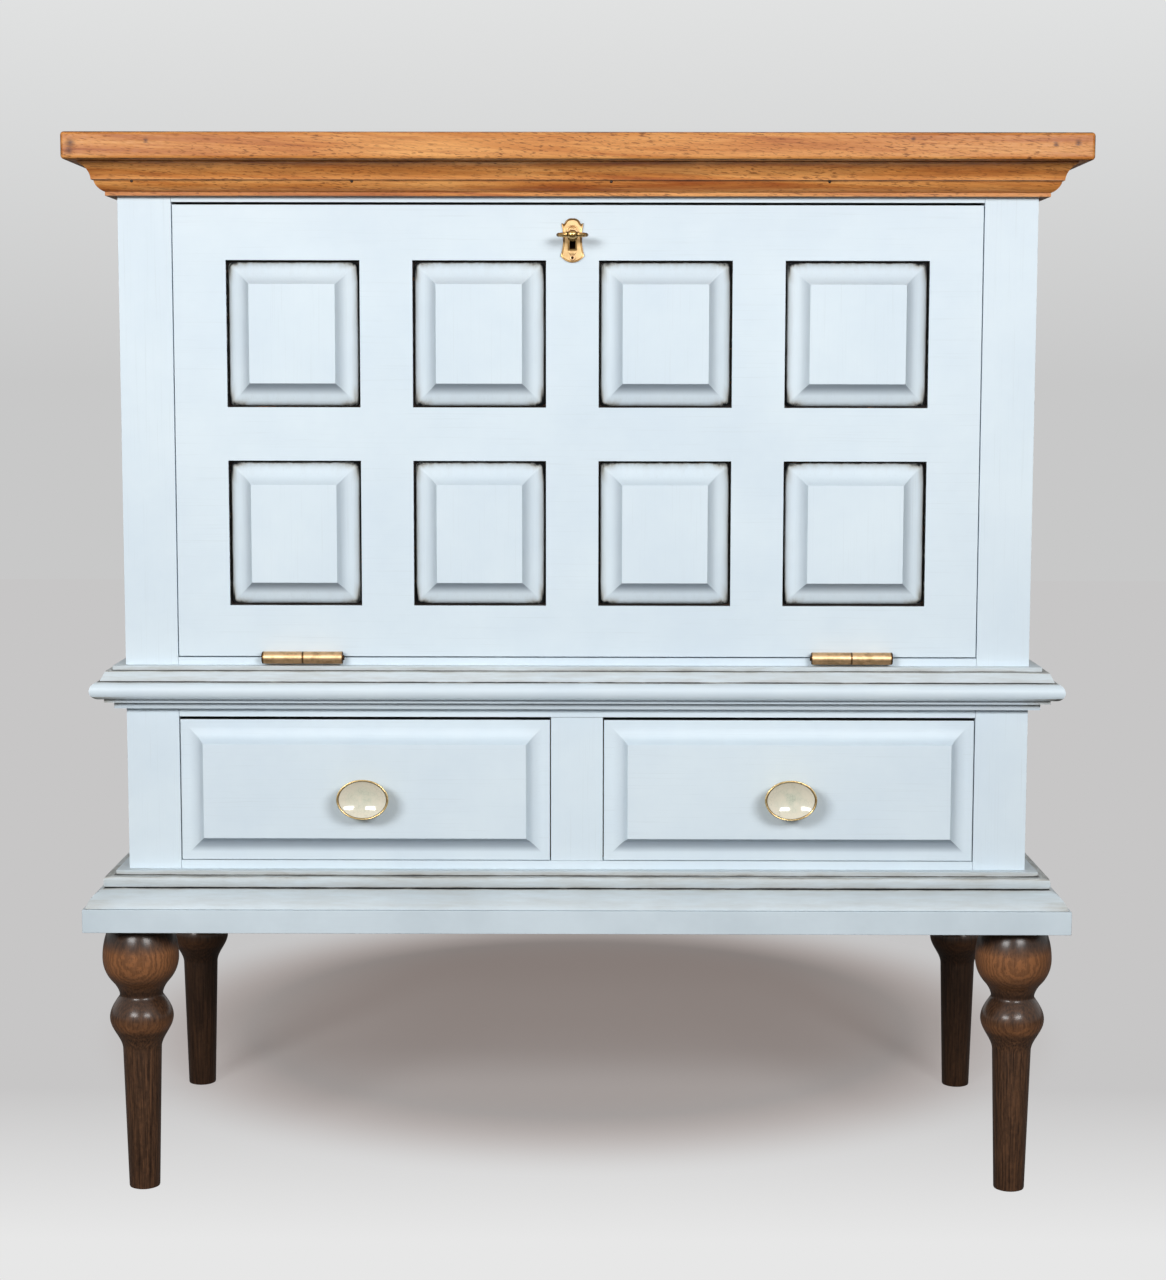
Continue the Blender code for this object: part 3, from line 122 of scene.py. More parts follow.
def streaks(add, axis, size, detail=3.0, roughness=0.55, distortion=0.0, tilt=0.0):
    along, across = size  # a streak's length and width in millimetres
    scale = [across * mm] * 3
    scale["xyz".index(axis)] = along * mm
    mapping = add("Mapping", {"Vector": add("TexCoord", output="Object"), "Scale": scale,
                              "Rotation": (0.0, math.radians(tilt), 0.0)}, vector_type="TEXTURE")
    return add("TexNoise", {"Vector": mapping, "Scale": 1.0, "Detail": detail, "Roughness": roughness,
                            "Distortion": distortion}, "Fac")


# chalk paint, brushed on over sanded wood and waxed: soft sheen, fine bristle ridges, patchy cover,
# with a dark wax glaze left in the recesses and a taupe wash where it was wiped off; the same black also
# paints the shade inside the gaps, and the shade colour is painted grey-blue shade on the slopes under
# the raised fields and under the waist's torus
chalkLook = {
    "pale": "#E2EFF7", "deep": "#DBE9F3", "thin": "#CFDBE2", "wash": "#B0AFA8", "dark": "#1B1D20",
    "shade": "#8793A0",
    "lowPale": "#D8E5ED", "lowDeep": "#CDDAE2",  # the base, seen further from the light
    "stroke": (90, 1.3),  # mm, coarser than real bristle marks so that they show
    "patch": (110, 110), "rub": (45, 6), "ridge": 0.12,
}


def chalkPaint(name, brush, tones=("pale", "deep"), foot=0.0, bands=()):
    material, add = newMaterial(name, Metallic=0.0, IOR=1.5)
    look = chalkLook
    strokes = streaks(add, brush, look["stroke"], 4.0, 0.6)
    patches = add("MapRange", (streaks(add, "x", look["patch"], 4.0, 0.6), 0.35, 0.65))
    worn = add("MapRange", (strokes, 0.58, 0.82, 0.0, 0.5))
    shaded = add("Attribute", output="Fac", attribute_name="shade")
    held = add("Attribute", output="Fac", attribute_name="glaze")
    if bands:  # (mm above the foot, wax held)
        top = bands[-1][0]
        height = add("SeparateXYZ", (add("TexCoord", output="Object"),), "Z")
        height = add("MapRange", (height, foot, foot + top * mm))
        band = add("ValToRGB", (height,), ramp=[(rise / top, amount) for rise, amount in bands])
        held = add("Math", (held, band), operation="MAXIMUM")
    rubbed = add("MapRange", (streaks(add, brush, look["rub"], 5.0, 0.65), 0.3, 0.7, 0.4, 1.4))
    wax = add("Math", (held, rubbed), operation="MULTIPLY")
    washed = add("MapRange", (wax, 0.04, 0.5, 0.0, 0.9))
    blackened = add("MapRange", (wax, 0.42, 0.85))
    rough = add("MapRange", (strokes, 0.2, 0.8, 0.40, 0.56))
    coats = [(patches, look[tones[1]]), (worn, look["thin"]), (shaded, look["shade"]), (washed, look["wash"]),
             (blackened, look["dark"])]
    return finished(material, look[tones[0]], coats, rough, strokes, 0.5, look["ridge"])


# sapele-like hardwood under satin varnish: orange-brown ribbon streaks, short dark pores along the grain
honeyLook = {
    "dark": "#A65926", "mid": "#CD833F", "light": "#E8A660", "pore": "#6A3817", "burnt": "#24140B",
    "knot": "#54290F", "ribbon": (220, 12), "line": (70, 2.0), "crowd": (80, 30), "smudge": (30, 8),
    "pores": (7, 1.05),  # real pores are 0.2 mm wide; drawn wider to show
    "poreDepth": 0.1, "ragged": 6, "knotCore": 3.5, "knotFringe": 3,
}


def honeyWood(name, axis, knots=()):
    material, add = newMaterial(name, IOR=1.5, Coat_Weight=0.05, Coat_Roughness=0.35, Specular_IOR_Level=0.3)
    look = honeyLook
    ribbons = streaks(add, axis, look["ribbon"], 4.0, 0.55, 0.6, 2.0)
    lines = streaks(add, axis, look["line"], 4.0, 0.6, 0.3, 3.0)
    pores = streaks(add, axis, look["pores"], 2.0, 0.5, 0.4, 6.0)
    crowded = add("MapRange", (streaks(add, axis, look["crowd"], 3.0, 0.5), 0.35, 0.62, 0.4, 1.0))
    tone = add("ValToRGB", (ribbons,),
               ramp=[(0.30, look["dark"]), (0.47, look["mid"]), (0.70, look["light"])])
    deep = add("MapRange", (lines, 0.45, 0.75, 0.0, 0.55))
    bright = add("MapRange", (lines, 0.25, 0.45, 0.4, 0.0))
    dashes = add("Math", (add("MapRange", (pores, 0.55, 0.66, 0.0, 0.8)), crowded), operation="MULTIPLY")
    coats = [(deep, look["dark"]), (bright, look["light"]), (dashes, look["pore"])]
    for place, reach in knots:
        away = add("VectorMath", (add("TexCoord", output="Object"), place), "Value", operation="DISTANCE")
        frayed = add("Math", (pores, look["ragged"] * mm), operation="MULTIPLY")
        away = add("Math", (away, frayed), operation="ADD")
        near = add("MapRange", (away, look["knotCore"] * mm, (reach + look["knotFringe"]) * mm, 0.9, 0.0))
        coats.append((near, look["knot"]))
    held = add("Attribute", output="Fac", attribute_name="glaze")
    smudge = add("MapRange", (streaks(add, axis, look["smudge"], 4.0, 0.65), 0.3, 0.7, 0.3, 1.3))
    coats.append((add("Math", (held, smudge), operation="MULTIPLY"), look["burnt"]))
    rough = add("MapRange", (pores, 0.3, 0.75, 0.36, 0.56))
    return finished(material, tone, coats, rough, pores, 0.35, look["poreDepth"], True)


# walnut-stained hardwood, turned and lacquered: growth sheets cut into ovals by the curves, dark pores;
# the bands are (mm under the plinth, amount): warm wood, and painted shade in the neck crease and at the
# ball's top under the plinth
walnutLook = {
    "dark": "#2A1B12", "mid": "#503828", "light": "#755138", "warm": "#A26B43",
    "ring": 2.8, "fibre": (70, 1.5), "pores": (10, 0.7), "cloud": (80, 26), "poreDepth": 0.1,
    "rearStain": 0.6,  # the rear legs stand out of the light
    "warmBands": [(112, 0.0), (104, 0.12), (102, 0.4), (96, 0.4), (90, 0.1), (62, 0.04), (52, 0.28),
                  (43, 0.72), (26, 0.76), (19, 0.3), (14, 0.0)],
    "darkBands": [(110, 0.0), (106, 0.3), (103, 0.0), (90, 0.0), (85, 0.4), (78, 0.35), (73, 0.6),
                  (67, 0.75), (61, 0.0), (25, 0.0), (19, 0.4), (13, 0.65), (0, 0.65)],
}


def walnut(name, shadeAllOver=0.0):
    material, add = newMaterial(name, IOR=1.5, Coat_Weight=0.5, Coat_Roughness=0.22, Specular_IOR_Level=0.12)
    look = walnutLook
    place = add("TexCoord", output="Object")
    bandScale = 0.314 / (look["ring"] * mm)  # a wave repeats every 0.314 of its own units
    sheets = add("TexWave", {"Vector": place, "Scale": bandScale, "Distortion": 6.0, "Detail": 4.0,
                             "Detail Scale": 1.2, "Detail Roughness": 0.6}, "Fac", wave_type="BANDS",
                 bands_direction="Y")
    fibres = streaks(add, "z", look["fibre"], 5.0, 0.65)
    pores = streaks(add, "z", look["pores"], 2.0, 0.5)
    clouds = streaks(add, "z", look["cloud"], 3.0, 0.5)
    figure = add("Math", (add("Math", (sheets, 0.08), operation="MULTIPLY"),
                          add("Math", (fibres, 0.92), operation="MULTIPLY")), operation="ADD")
    tone = add("ValToRGB", (figure,),
               ramp=[(0.32, look["dark"]), (0.48, look["mid"]), (0.68, look["light"])])
    height = add("MapRange", (add("SeparateXYZ", (place,), "Z"), 0.0, plinthFoot))
    warmth, stain = (add("ValToRGB", (height,), ramp=[
        (1 - down * mm / plinthFoot, amount) for down, amount in look[bands]])
        for bands in ("warmBands", "darkBands"))
    figured = add("MapRange", (sheets, 0.2, 0.8, 0.7, 1.15))
    warmth = add("Math", (warmth, figured), operation="MULTIPLY")
    # painted shade: the shade bands, or on the rear legs a shade all over
    stained = add("Math", (stain, shadeAllOver), operation="MAXIMUM")
    clouded = add("MapRange", (clouds, 0.3, 0.6, 0.3, 0.0))
    pitted = add("MapRange", (pores, 0.58, 0.72, 0.0, 0.65))
    coats = [(warmth, look["warm"])] + [(amount, look["dark"]) for amount in (stained, clouded, pitted)]
    rough = add("MapRange", (fibres, 0.3, 0.7, 0.30, 0.42))
    return finished(material, tone, coats, rough, pores, 0.25, look["poreDepth"], True)


# plain sanded poplar for drawer boxes, runners and the back: pale tan with faint grain
poplarLook = {"dark": "#A67C4E", "mid": "#C79D6A", "light": "#DDBB8C", "ribbon": (380, 14),
              "line": (120, 1.8), "grainDepth": 0.1}


def poplar(name, axis):
    material, add = newMaterial(name, IOR=1.5)
    look = poplarLook
    ribbons = streaks(add, axis, look["ribbon"], 4.0, 0.55, 0.5)
    lines = streaks(add, axis, look["line"], 4.0, 0.6)
    tone = add("ValToRGB", (ribbons,),
               ramp=[(0.3, look["dark"]), (0.5, look["mid"]), (0.7, look["light"])])
    deep = add("MapRange", (lines, 0.45, 0.8, 0.0, 0.55))
    rough = add("MapRange", (lines, 0.3, 0.7, 0.55, 0.72))
    return finished(material, tone, [(deep, look["dark"])], rough, lines, 0.3, look["grainDepth"])


# metals: a brushed surface with clouds of tarnish; the tarnish darkens, with brown grime in corners;
# the same brown-black is painted as shade inside the lock case, in the knob's groove and in the pin's hole
metalLook = {"brush": (14, 0.35),  # mm, real scratches are finer; drawn wider to show
             "scratchDepth": 0.05, "grime": "#2A1B11"}


def brushedMetal(name, axis, bright, tarnished, low, high, cloud=7):
    material, add = newMaterial(name, Metallic=1.0)
    brushing = streaks(add, axis, metalLook["brush"], 3.0, 0.6)
    clouds = add("MapRange", (streaks(add, axis, (cloud, cloud), 4.0, 0.6), 0.45, 0.75, 0.0, 0.6))
    held = add("Attribute", output="Fac", attribute_name="glaze")
    tarnish = add("Math", (clouds, held), operation="ADD")
    coats = [(tarnish, tarnished), (add("MapRange", (held, 0.8, 1.3)), metalLook["grime"])]
    rough = add("MapRange", (brushing, 0.25, 0.75, low, high))
    return finished(material, bright, coats, rough, brushing, 0.2, metalLook["scratchDepth"])


# ivory glaze over stoneware: glossy, with fine grey-green crackle lines and a pooled green tint
glazeLook = {"ivory": "#E8E1CD", "pool": "#CDD3BF", "crack": "#959C8A", "cell": 3.2, "warp": 10 / 3,
             "bend": 1.2, "cloud": (9, 9), "ripple": 0.2}


def crackleGlaze(name):
    material, add = newMaterial(name, Roughness=0.12, IOR=1.52, Coat_Weight=0.6, Coat_Roughness=0.05)
    look = glazeLook
    place = add("TexCoord", output="Object")
    warp = add("TexNoise", {"Vector": place, "Scale": 1 / (look["warp"] * mm)}, "Color")
    bent = add("Mix", {0: look["bend"] * mm, 4: place, 5: warp}, 1, data_type="VECTOR")
    edges = add("TexVoronoi", {"Vector": bent, "Scale": 1 / (look["cell"] * mm)}, "Distance",
                feature="DISTANCE_TO_EDGE")
    clouds = streaks(add, "x", look["cloud"], 4.0, 0.6)
    held = add("Attribute", output="Fac", attribute_name="glaze")
    pooled = add("Math", (held, add("MapRange", (clouds, 0.3, 0.6))), operation="MULTIPLY")
    crack = add("Math", (add("MapRange", (edges, 0.0, 0.06, 0.55, 0.0)),
                         add("MapRange", (clouds, 0.4, 0.7))), operation="MULTIPLY")
    coats = [(pooled, look["pool"]), (crack, look["crack"])]
    return finished(material, look["ivory"], coats, None, clouds, 0.15, look["ripple"])


lowTones = "lowPale", "lowDeep"
paintAlong = {axis: chalkPaint("chalkPaint" + axis.upper(), axis) for axis in "xz"}
honeyAlong = {axis: honeyWood("varnishedSapele" + axis.upper(), axis) for axis in "xy"}
poplarAlong = {axis: poplar("sandedPoplar" + axis.upper(), axis) for axis in "xyz"}
# the rear legs get painted shade all over, as they stand out of the light
legWood = {"front": walnut("lacqueredWalnut"),
           "rear": walnut("darkLacqueredWalnut", walnutLook["rearStain"])}
lowPaint = {"x": chalkPaint("basePaintX", "x", lowTones)}
brass = brushedMetal("agedBrass", "x", "#E2BC90", "#7E5A36", 0.34, 0.50)
stampedBrass = brushedMetal("stampedBrass", "z", "#DDBA88", "#94703F", 0.28, 0.42, 10)
keyBrass = brushedMetal("handledBrass", "x", "#D2AD70", "#6E5230", 0.20, 0.32, 4)
iron = brushedMetal("blackenedIron", "x", "#4A403A", "#241D19", 0.50, 0.70)
gilt = brushedMetal("polishedGilt", "x", "#F0D49C", "#B98C50", 0.20, 0.32, 12)
steel = brushedMetal("zincedSteel", "z", "#B9BCC0", "#7C7F84", 0.30, 0.45)
glaze = crackleGlaze("crackleGlaze")
print("materials made:", len(bpy.data.materials))


# shared modelling

mergeReach = 0.000005  # points this close, in metres, are one point
cutReach = 0.000001
sharpTurn = math.radians(50)  # edges that turn more than this are eased
levelTurn = math.radians(0.5)


def shares(steps):  # the way along a curve, without its start
    return [step / steps for step in range(1, steps + 1)]


def arcPoints(start, end, swell, steps):  # from start to end, bulging to the left of the way by swell
    run = Vector(end) - Vector(start)
    halfTurn = 2 * math.atan2(2 * swell, run.length)
    radius = run.length / (2 * math.sin(halfTurn))
    points = []
    for share in shares(steps):
        turn = halfTurn * (2 * share - 1)
        along = radius * math.sin(turn) / run.length + 0.5
        across = radius * (math.cos(turn) - math.cos(halfTurn)) / run.length
        points.append((start[0] + run.x * along - run.y * across, start[1] + run.y * along + run.x * across))
    return points


def newObject(name, data):
    made = bpy.data.objects.new(name, data)
    bpy.context.scene.collection.objects.link(made)
    return made


def dress(bm, name, material, replaced=(), body=None, sharp=35, curved=0, glazeOf=None,
          shadeOf=None):  # curved: the angle that counts as sharp on a piece without flats
    for layerName, amountOf in (("glaze", glazeOf), ("shade", shadeOf)):
        if amountOf:
            layer = bm.verts.layers.float.get(layerName) or bm.verts.layers.float.new(layerName)
            for vert in bm.verts:
                vert[layer] = amountOf(vert.co)
    bmesh.ops.remove_doubles(bm, verts=bm.verts[:], dist=mergeReach)
    bmesh.ops.recalc_face_normals(bm, faces=bm.faces[:])
    mesh = bpy.data.meshes.new(name)
    bm.to_mesh(mesh)
    bm.free()
    mesh.shade_smooth()
    mesh.set_sharp_from_angle(angle=math.radians(curved or sharp))
    mesh.materials.append(material)
    piece = newObject(name, mesh)
    if not curved:  # large flat faces keep level shading beside their eased edges
        normals = piece.modifiers.new("faceNormals", "WEIGHTED_NORMAL")
        normals.keep_sharp = True
    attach(piece, body or nodes[replaced[0]]["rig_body"])
    if replaced:
        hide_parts(*replaced)
    return piece


def solidCopy(nodeName):  # a CAD solid's mesh, merged, its level triangles joined
    bm = bmesh.new()
    bm.from_mesh(nodes[nodeName].data)
    bmesh.ops.remove_doubles(bm, verts=bm.verts[:], dist=mergeReach)
    bmesh.ops.dissolve_limit(bm, angle_limit=levelTurn, verts=bm.verts[:], edges=bm.edges[:])
    return bm


def roundOff(bm, geom, width, segments, affect="EDGES"):
    bmesh.ops.bevel(bm, geom=geom, offset=width, segments=segments, profile=0.5, affect=affect, material=-1,
                    clamp_overlap=True)


def easeEdges(bm, width, segments=2, shortest=4 * mm):
    roundOff(bm, [e for e in bm.edges if len(e.link_faces) == 2 and e.calc_length() > shortest
                  and e.calc_face_angle() > sharpTurn], width, segments)


def easedBlock(low, high, width, segments):
    bm = bmesh.new()
    bmesh.ops.create_cube(bm, size=1.0)
    bmesh.ops.scale(bm, vec=high - low, verts=bm.verts[:])
    bmesh.ops.translate(bm, vec=(low + high) / 2, verts=bm.verts[:])
    roundOff(bm, bm.edges[:], width, segments)
    return bm


def spun(profile, steps, axis="Z", place=(0, 0, 0)):  # profile of (radius, along), in millimetres
    bm = bmesh.new()
    line = [bm.verts.new((radius * mm, 0.0, along * mm)) for radius, along in profile]
    edges = [bm.edges.new(pair) for pair in zip(line, line[1:])]
    bmesh.ops.spin(bm, geom=line + edges, cent=(0, 0, 0), axis=(0, 0, 1), angle=2 * math.pi, steps=steps,
                   use_merge=True)
    bmesh.ops.remove_doubles(bm, verts=bm.verts[:], dist=mergeReach)
    angle, about = {"X": (90, "Y"), "-Y": (90, "X"), "Y": (-90, "X"), "Z": (0, "Z")}[axis]
    bmesh.ops.transform(bm, matrix=Matrix.Rotation(math.radians(angle), 4, about), verts=bm.verts[:])
    bmesh.ops.translate(bm, vec=place, verts=bm.verts[:])
    return bm


def cutAcross(bm, axis, places):  # adds edge loops where the finish changes
    normal = [float(axis == name) for name in "xyz"]
    for place in places:
        bmesh.ops.bisect_plane(bm, geom=bm.verts[:] + bm.edges[:] + bm.faces[:], dist=cutReach,
                               plane_co=[n * place for n in normal], plane_no=normal)


# boards: each CAD board with its edges eased as paint and sanding leave them
boards = {
    "paint": {"ease": 0.12 * mm, "slot": "blue_paint", "along": {
        "stile_left": "z", "stile_right": "z", "top_rail": "x", "waist_rail": "x", "bottom_rail": "x",
        "drawer_mullion": "z", "side_panel_left": "z", "side_panel_right": "z"}},
    "low paint": {"ease": 0.6 * mm, "slot": "blue_paint", "along": {"plinth_board": "x"}},
    "poplar": {"ease": 0.5 * mm, "slot": "plain_wood", "along": {
        "back_panel": "z", "runner_left": "y", "runner_centre": "y", "runner_right": "y"}},
    "honey": {"ease": 0.8 * mm, "slot": "honey_wood", "along": {"bar_floor": "x"}},
}
for hand in hands:
    for part, axis in (("side_left", "y"), ("side_right", "y"), ("back", "x"), ("bottom", "x")):
        boards["poplar"]["along"]["drawer_" + hand + "_" + part] = axis
finishes = {"paint": paintAlong, "low paint": lowPaint, "poplar": poplarAlong, "honey": honeyAlong}
# painted shade: faces inside the gaps are painted black, as the shade there
gapShade = 2.0  # enough to read black, for the faces inside the gaps
# the rails' undersides over the gaps get this painted shade
gapRails = {"top_rail", "waist_rail"}  # their undersides close the gaps over the flap and the drawers
levelReach = 0.05 * mm  # points this close to an underside lie on it
for kind, look in boards.items():
    for nodeName, axis in look["along"].items():
        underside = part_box(nodeName)[0].z + levelReach
        board = solidCopy(nodeName)
        easeEdges(board, look["ease"])
        dress(board, nodeName + "_board", finishes[kind][axis], [nodeName],
              glazeOf=(lambda co: gapShade if co.z < underside else 0.0) if nodeName in gapRails else None)
print("boards eased:", sum(len(look["along"]) for look in boards.values()))

# fall front's worktop: the face behind the panels is painted dark as shade, so the gaps round them read black
worktopLook = {"ease": 0.8 * mm, "stain": 2.0, "stained": 1.0 * mm, "clean": 1.2 * mm}
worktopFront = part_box("fall_worktop")[0].y
worktop = solidCopy("fall_worktop")
easeEdges(worktop, worktopLook["ease"])
cutAcross(worktop, "y", [worktopFront + worktopLook["clean"]])
dress(worktop, "fallWorktop", honeyAlong["x"], ["fall_worktop"],
      glazeOf=lambda co: worktopLook["stain"] if co.y < worktopFront + worktopLook["stained"] else 0.0)

# top board: rounded all round, its edges darkened by handling; a knot is (x, z, reach in mm) on the front
topLook = {"round": 3.4 * mm, "steps": 5, "edgeStain": 0.8, "stainEnd": 6.0 * mm, "stained": 5.0 * mm,
           "edge": 0.8 * mm, "edgeHeight": 3.0 * mm, "frontHeight": 0.5 * mm,
           "knots": [(-0.4595, 0.9900, 5.8), (-0.4603, 0.9832, 4.4), (-0.391, 0.9928, 3.2),
                     (0.453, 0.9915, 4.0), (0.433, 0.9895, 3.0), (0.304, 0.9947, 2.6), (0.409, 0.9774, 2.2)]}
topLow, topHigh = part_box("top_board")
topBoard = easedBlock(topLow, topHigh, topLook["round"], topLook["steps"])
for axis, side in (("x", 0), ("y", 1)):
    cutAcross(topBoard, axis, [topLow[side] + topLook["stainEnd"], topHigh[side] - topLook["stainEnd"]])
topKnots = [((x, topLow.y, z), reach) for x, z, reach in topLook["knots"]]


def topEdgeStain(co):
    level = min(co.z - topLow.z, topHigh.z - co.z)
    end = min(co.x - topLow.x, topHigh.x - co.x)
    rim = min(end, co.y - topLow.y, topHigh.y - co.y)
    low = min(level, max(co.y - topLow.y, 0.0) + topLook["frontHeight"]) < topLook["edgeHeight"]
    rounded = min(level, end) < topLook["edge"]
    return topLook["edgeStain"] if rounded and low and rim < topLook["stained"] else 0.0


dress(topBoard, "topBoard", honeyWood("knottySapele", "x", topKnots), ["top_board"],
      glazeOf=topEdgeStain)

# mouldings: a rim runs from foot to top in millimetres, as points (out, up) and arcs (end, swell, steps);
# a stain-and-shadow or worn band is (from, to, wax), a line is (out, up, wax), and a glaze stop is (up, wax)
cornice = {"rim": [(9.4, 0.0), (9.4, 0.7), (9.4, 2.7), (9.4, 3.5), ((18.1, 13.3), -1.7, 10), (18.1, 13.9),
                   (20.2, 13.9), (20.2, 14.5), ((30.5, 29.0), 2.4, 14), (30.5, 30.0)], "ease": 0.25,
           # painted shadow: from 18 mm up the cove darkens towards the top board, as under its overhang; the
           # narrow bands are dark lines at the fillets and the step
           "stains": [(-0.1, 0.3, 0.6), (3.2, 3.8, 0.5), (13.2, 14.2, 0.7), (18.0, 25.0, 0.22),
                      (25.0, 28.0, 0.3), (28.0, 31.0, 0.55)]}
waist = {"rim": [(9.8, 0.0), (9.8, 6.4), (17.8, 6.4), (17.8, 10.1), (21.2, 10.1)],
         "torus": {"swell": 8.4, "top": 26.7, "steps": 20},
         "cap": [(16.5, 36.1), (12.6, 36.1), (10.6, 36.1), (10.6, 36.9), (10.6, 40.5)], "ease": 0.35,
         # painted shade: the band and fillet under the torus take the grey-blue shade colour up to shadeTo
         "worn": [(6.0, 10.3, 0.5), (10.3, 13.5, 0.75)], "lines": [(10.6, 36.1, 1.9)], "shade": 0.33,
         "shadeTo": 10.3,
         "glaze": [(0.0, 0.1), (5.8, 0.08), (6.4, 0.15), (7.0, 0.05), (9.6, 0.06), (10.2, 0.18), (10.9, 0.04),
                   (20.0, 0.0), (24.5, 0.08), (26.2, 0.32), (26.5, 1.1), (27.0, 1.1), (27.4, 0.28),
                   (31.0, 0.22), (35.2, 0.24), (36.0, 0.52), (36.8, 0.38), (39.0, 0.28), (40.5, 0.22)]}
base = {"rim": [(35.8, 0.0), ((19.8, 17.4), -3.0, 12), ((19.8, 27.7), -1.2, 8), (13.2, 27.7), (10.7, 27.7),
                (10.7, 28.5), (10.7, 32.2)], "ease": 0.35,
        "worn": [(-0.1, 9.0, 0.42), (26.0, 29.0, 0.6)], "lines": [(10.7, 27.7, 1.9)],
        "glaze": [(0.0, 0.12), (4.0, 0.2), (12.0, 0.16), (15.8, 0.22), (16.7, 0.5), (17.1, 1.25),
                  (17.9, 1.25), (18.4, 0.42), (20.0, 0.24), (26.0, 0.26), (27.6, 0.5), (28.6, 0.44),
                  (30.0, 0.36), (32.2, 0.18)]}
mitreLook = {"inner": 0.3, "reach": 16, "start": 6, "lineWidth": 0.5}  # reach: wear along the moulding
longRun = 0.2  # metres; only the moulding's own run is longer

torus = waist["torus"]
torusOut, torusFoot = waist["rim"][-1]
waist["rim"] += [(torusOut + torus["swell"] * math.sin(math.pi * share),
                  torusFoot + (torus["top"] - torusFoot) * (1 - math.cos(math.pi * share)) / 2)
                 for share in shares(torus["steps"])] + waist["cap"]


def mouldedLengths(name, look, finish):
    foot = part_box(name + "_front")[0].z
    rim = []
    for item in look["rim"]:
        rim += [item] if len(item) == 2 else arcPoints(rim[-1], *item)
    outline = [(mitreLook["inner"], rim[0][1])] + rim + [(mitreLook["inner"], rim[-1][1])]
    outline = [(out * mm, foot + rise * mm) for out, rise in outline]
    stains, worn, lines = (look.get(key, []) for key in ("stains", "worn", "lines"))
    reach, start = mitreLook["reach"] * mm, mitreLook["start"] * mm
    for side, suffix in ((0, "_front"), (-1, "_left"), (1, "_right")):
        bm = bmesh.new()
        corner = [((side or -1) * (halfWidth + out), frontFace - out, z) for out, z in outline]
        end = bm.faces.new([bm.verts.new(point) for point in corner])
        run = bmesh.ops.extrude_face_region(bm, geom=[end])
        for vert in (item for item in run["geom"] if isinstance(item, bmesh.types.BMVert)):
            if side:
                vert.co.y = backFace
            else:
                vert.co.x = -vert.co.x
        long = [e for e in bm.edges if e.calc_length() > longRun and e.calc_face_angle(0.0) > sharpTurn]
        roundOff(bm, long, look["ease"] * mm, 2)
        if worn and side:
            cutAcross(bm, "y", [frontFace + reach])
        elif worn:
            cutAcross(bm, "x", [reach - halfWidth, halfWidth - reach])

        def waxAndShadow(co):
            mitre = co.y < frontFace - start and abs(co.x) > halfWidth + start
            out, rise = (abs(co.x) - halfWidth if side else frontFace - co.y) / mm, (co.z - foot) / mm
            bands = stains + worn if mitre else stains
            held = [amount for low, high, amount in bands if low <= rise <= high]
            held += [amount for lineOut, lineRise, amount in lines
                     if max(abs(out - lineOut), abs(rise - lineRise)) < mitreLook["lineWidth"]]
            return max(held, default=0.0)

        def heldShade(co):
            return look["shade"] if co.z - foot < look["shadeTo"] * mm else 0.0

        dress(bm, name + suffix + "_run", finish["y" if side else "x"], [name + suffix],
              glazeOf=waxAndShadow, shadeOf=heldShade if "shade" in look else None)


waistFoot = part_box("waist_moulding_front")[0].z
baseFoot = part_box("base_moulding_front")[0].z
waistPaint, basePaint = {}, {}
for axis in "xy":
    waistPaint[axis] = chalkPaint("waistPaint" + axis.upper(), axis, foot=waistFoot, bands=waist["glaze"])
    basePaint[axis] = chalkPaint("baseMouldingPaint" + axis.upper(), axis, lowTones, baseFoot, base["glaze"])
mouldedLengths("cornice", cornice, honeyAlong)
mouldedLengths("waist_moulding", waist, waistPaint)
mouldedLengths("base_moulding", base, basePaint)
print("mouldings run")

# turned legs: radii and lengths in millimetres, from the plinth down
leg = {"ballTop": 28.2, "ballUpper": 33.3, "ball": 36.3, "ballLower": 34.9, "ballTurn": 42, "neck": 20.6,
       "neckSwell": -0.8, "neckLength": 2.4, "ringUpper": 21.4, "ring": 30.3, "ringLower": 31.5,
       "taper": 18.4, "foot": 14.7, "footRound": 1.6, "footCorner": (0.4, 0.5), "gap": 0.3, "steps": 72,
       "ballSteps": (10, 12), "neckSteps": 4, "ringSteps": (10, 16)}
legHeight = plinthFoot / mm
legLine = [(0.0, legHeight - leg["gap"]), (leg["ballTop"], legHeight - leg["gap"])]
ballHeight = legHeight - leg["ballUpper"]
upperTurn, lowerTurn = math.acos(leg["ballTop"] / leg["ball"]), math.radians(leg["ballTurn"])
for share in shares(leg["ballSteps"][0]):
    turn = upperTurn * (1 - share)
    legLine.append((leg["ball"] * math.cos(turn),
                    ballHeight + (leg["ballUpper"] - leg["gap"]) * math.sin(turn) / math.sin(upperTurn)))
legLine += [(leg["ball"] * math.cos(lowerTurn * share),
             ballHeight - leg["ballLower"] * math.sin(lowerTurn * share))
            for share in shares(leg["ballSteps"][1])]
neckTop = ballHeight - leg["ballLower"]
neckFoot = neckTop - leg["neckLength"]
legLine += arcPoints(legLine[-1], (leg["neck"], neckTop), leg["neckSwell"], leg["neckSteps"])
legLine.append((leg["neck"], neckFoot))
legLine += [(leg["neck"] + (leg["ring"] - leg["neck"]) * math.sin(math.pi / 2 * share),
             neckFoot - leg["ringUpper"] * share) for share in shares(leg["ringSteps"][0])]
ringHeight = neckFoot - leg["ringUpper"]
legLine += [(leg["taper"] + (leg["ring"] - leg["taper"]) * (1 + math.cos(math.pi * share)) / 2,
             ringHeight - leg["ringLower"] * share) for share in shares(leg["ringSteps"][1])]
legLine += [(leg["foot"], leg["footRound"]), (leg["foot"] - leg["footCorner"][0], leg["footCorner"][1]),
            (leg["foot"] - leg["footRound"], 0.0), (0.0, 0.0)]
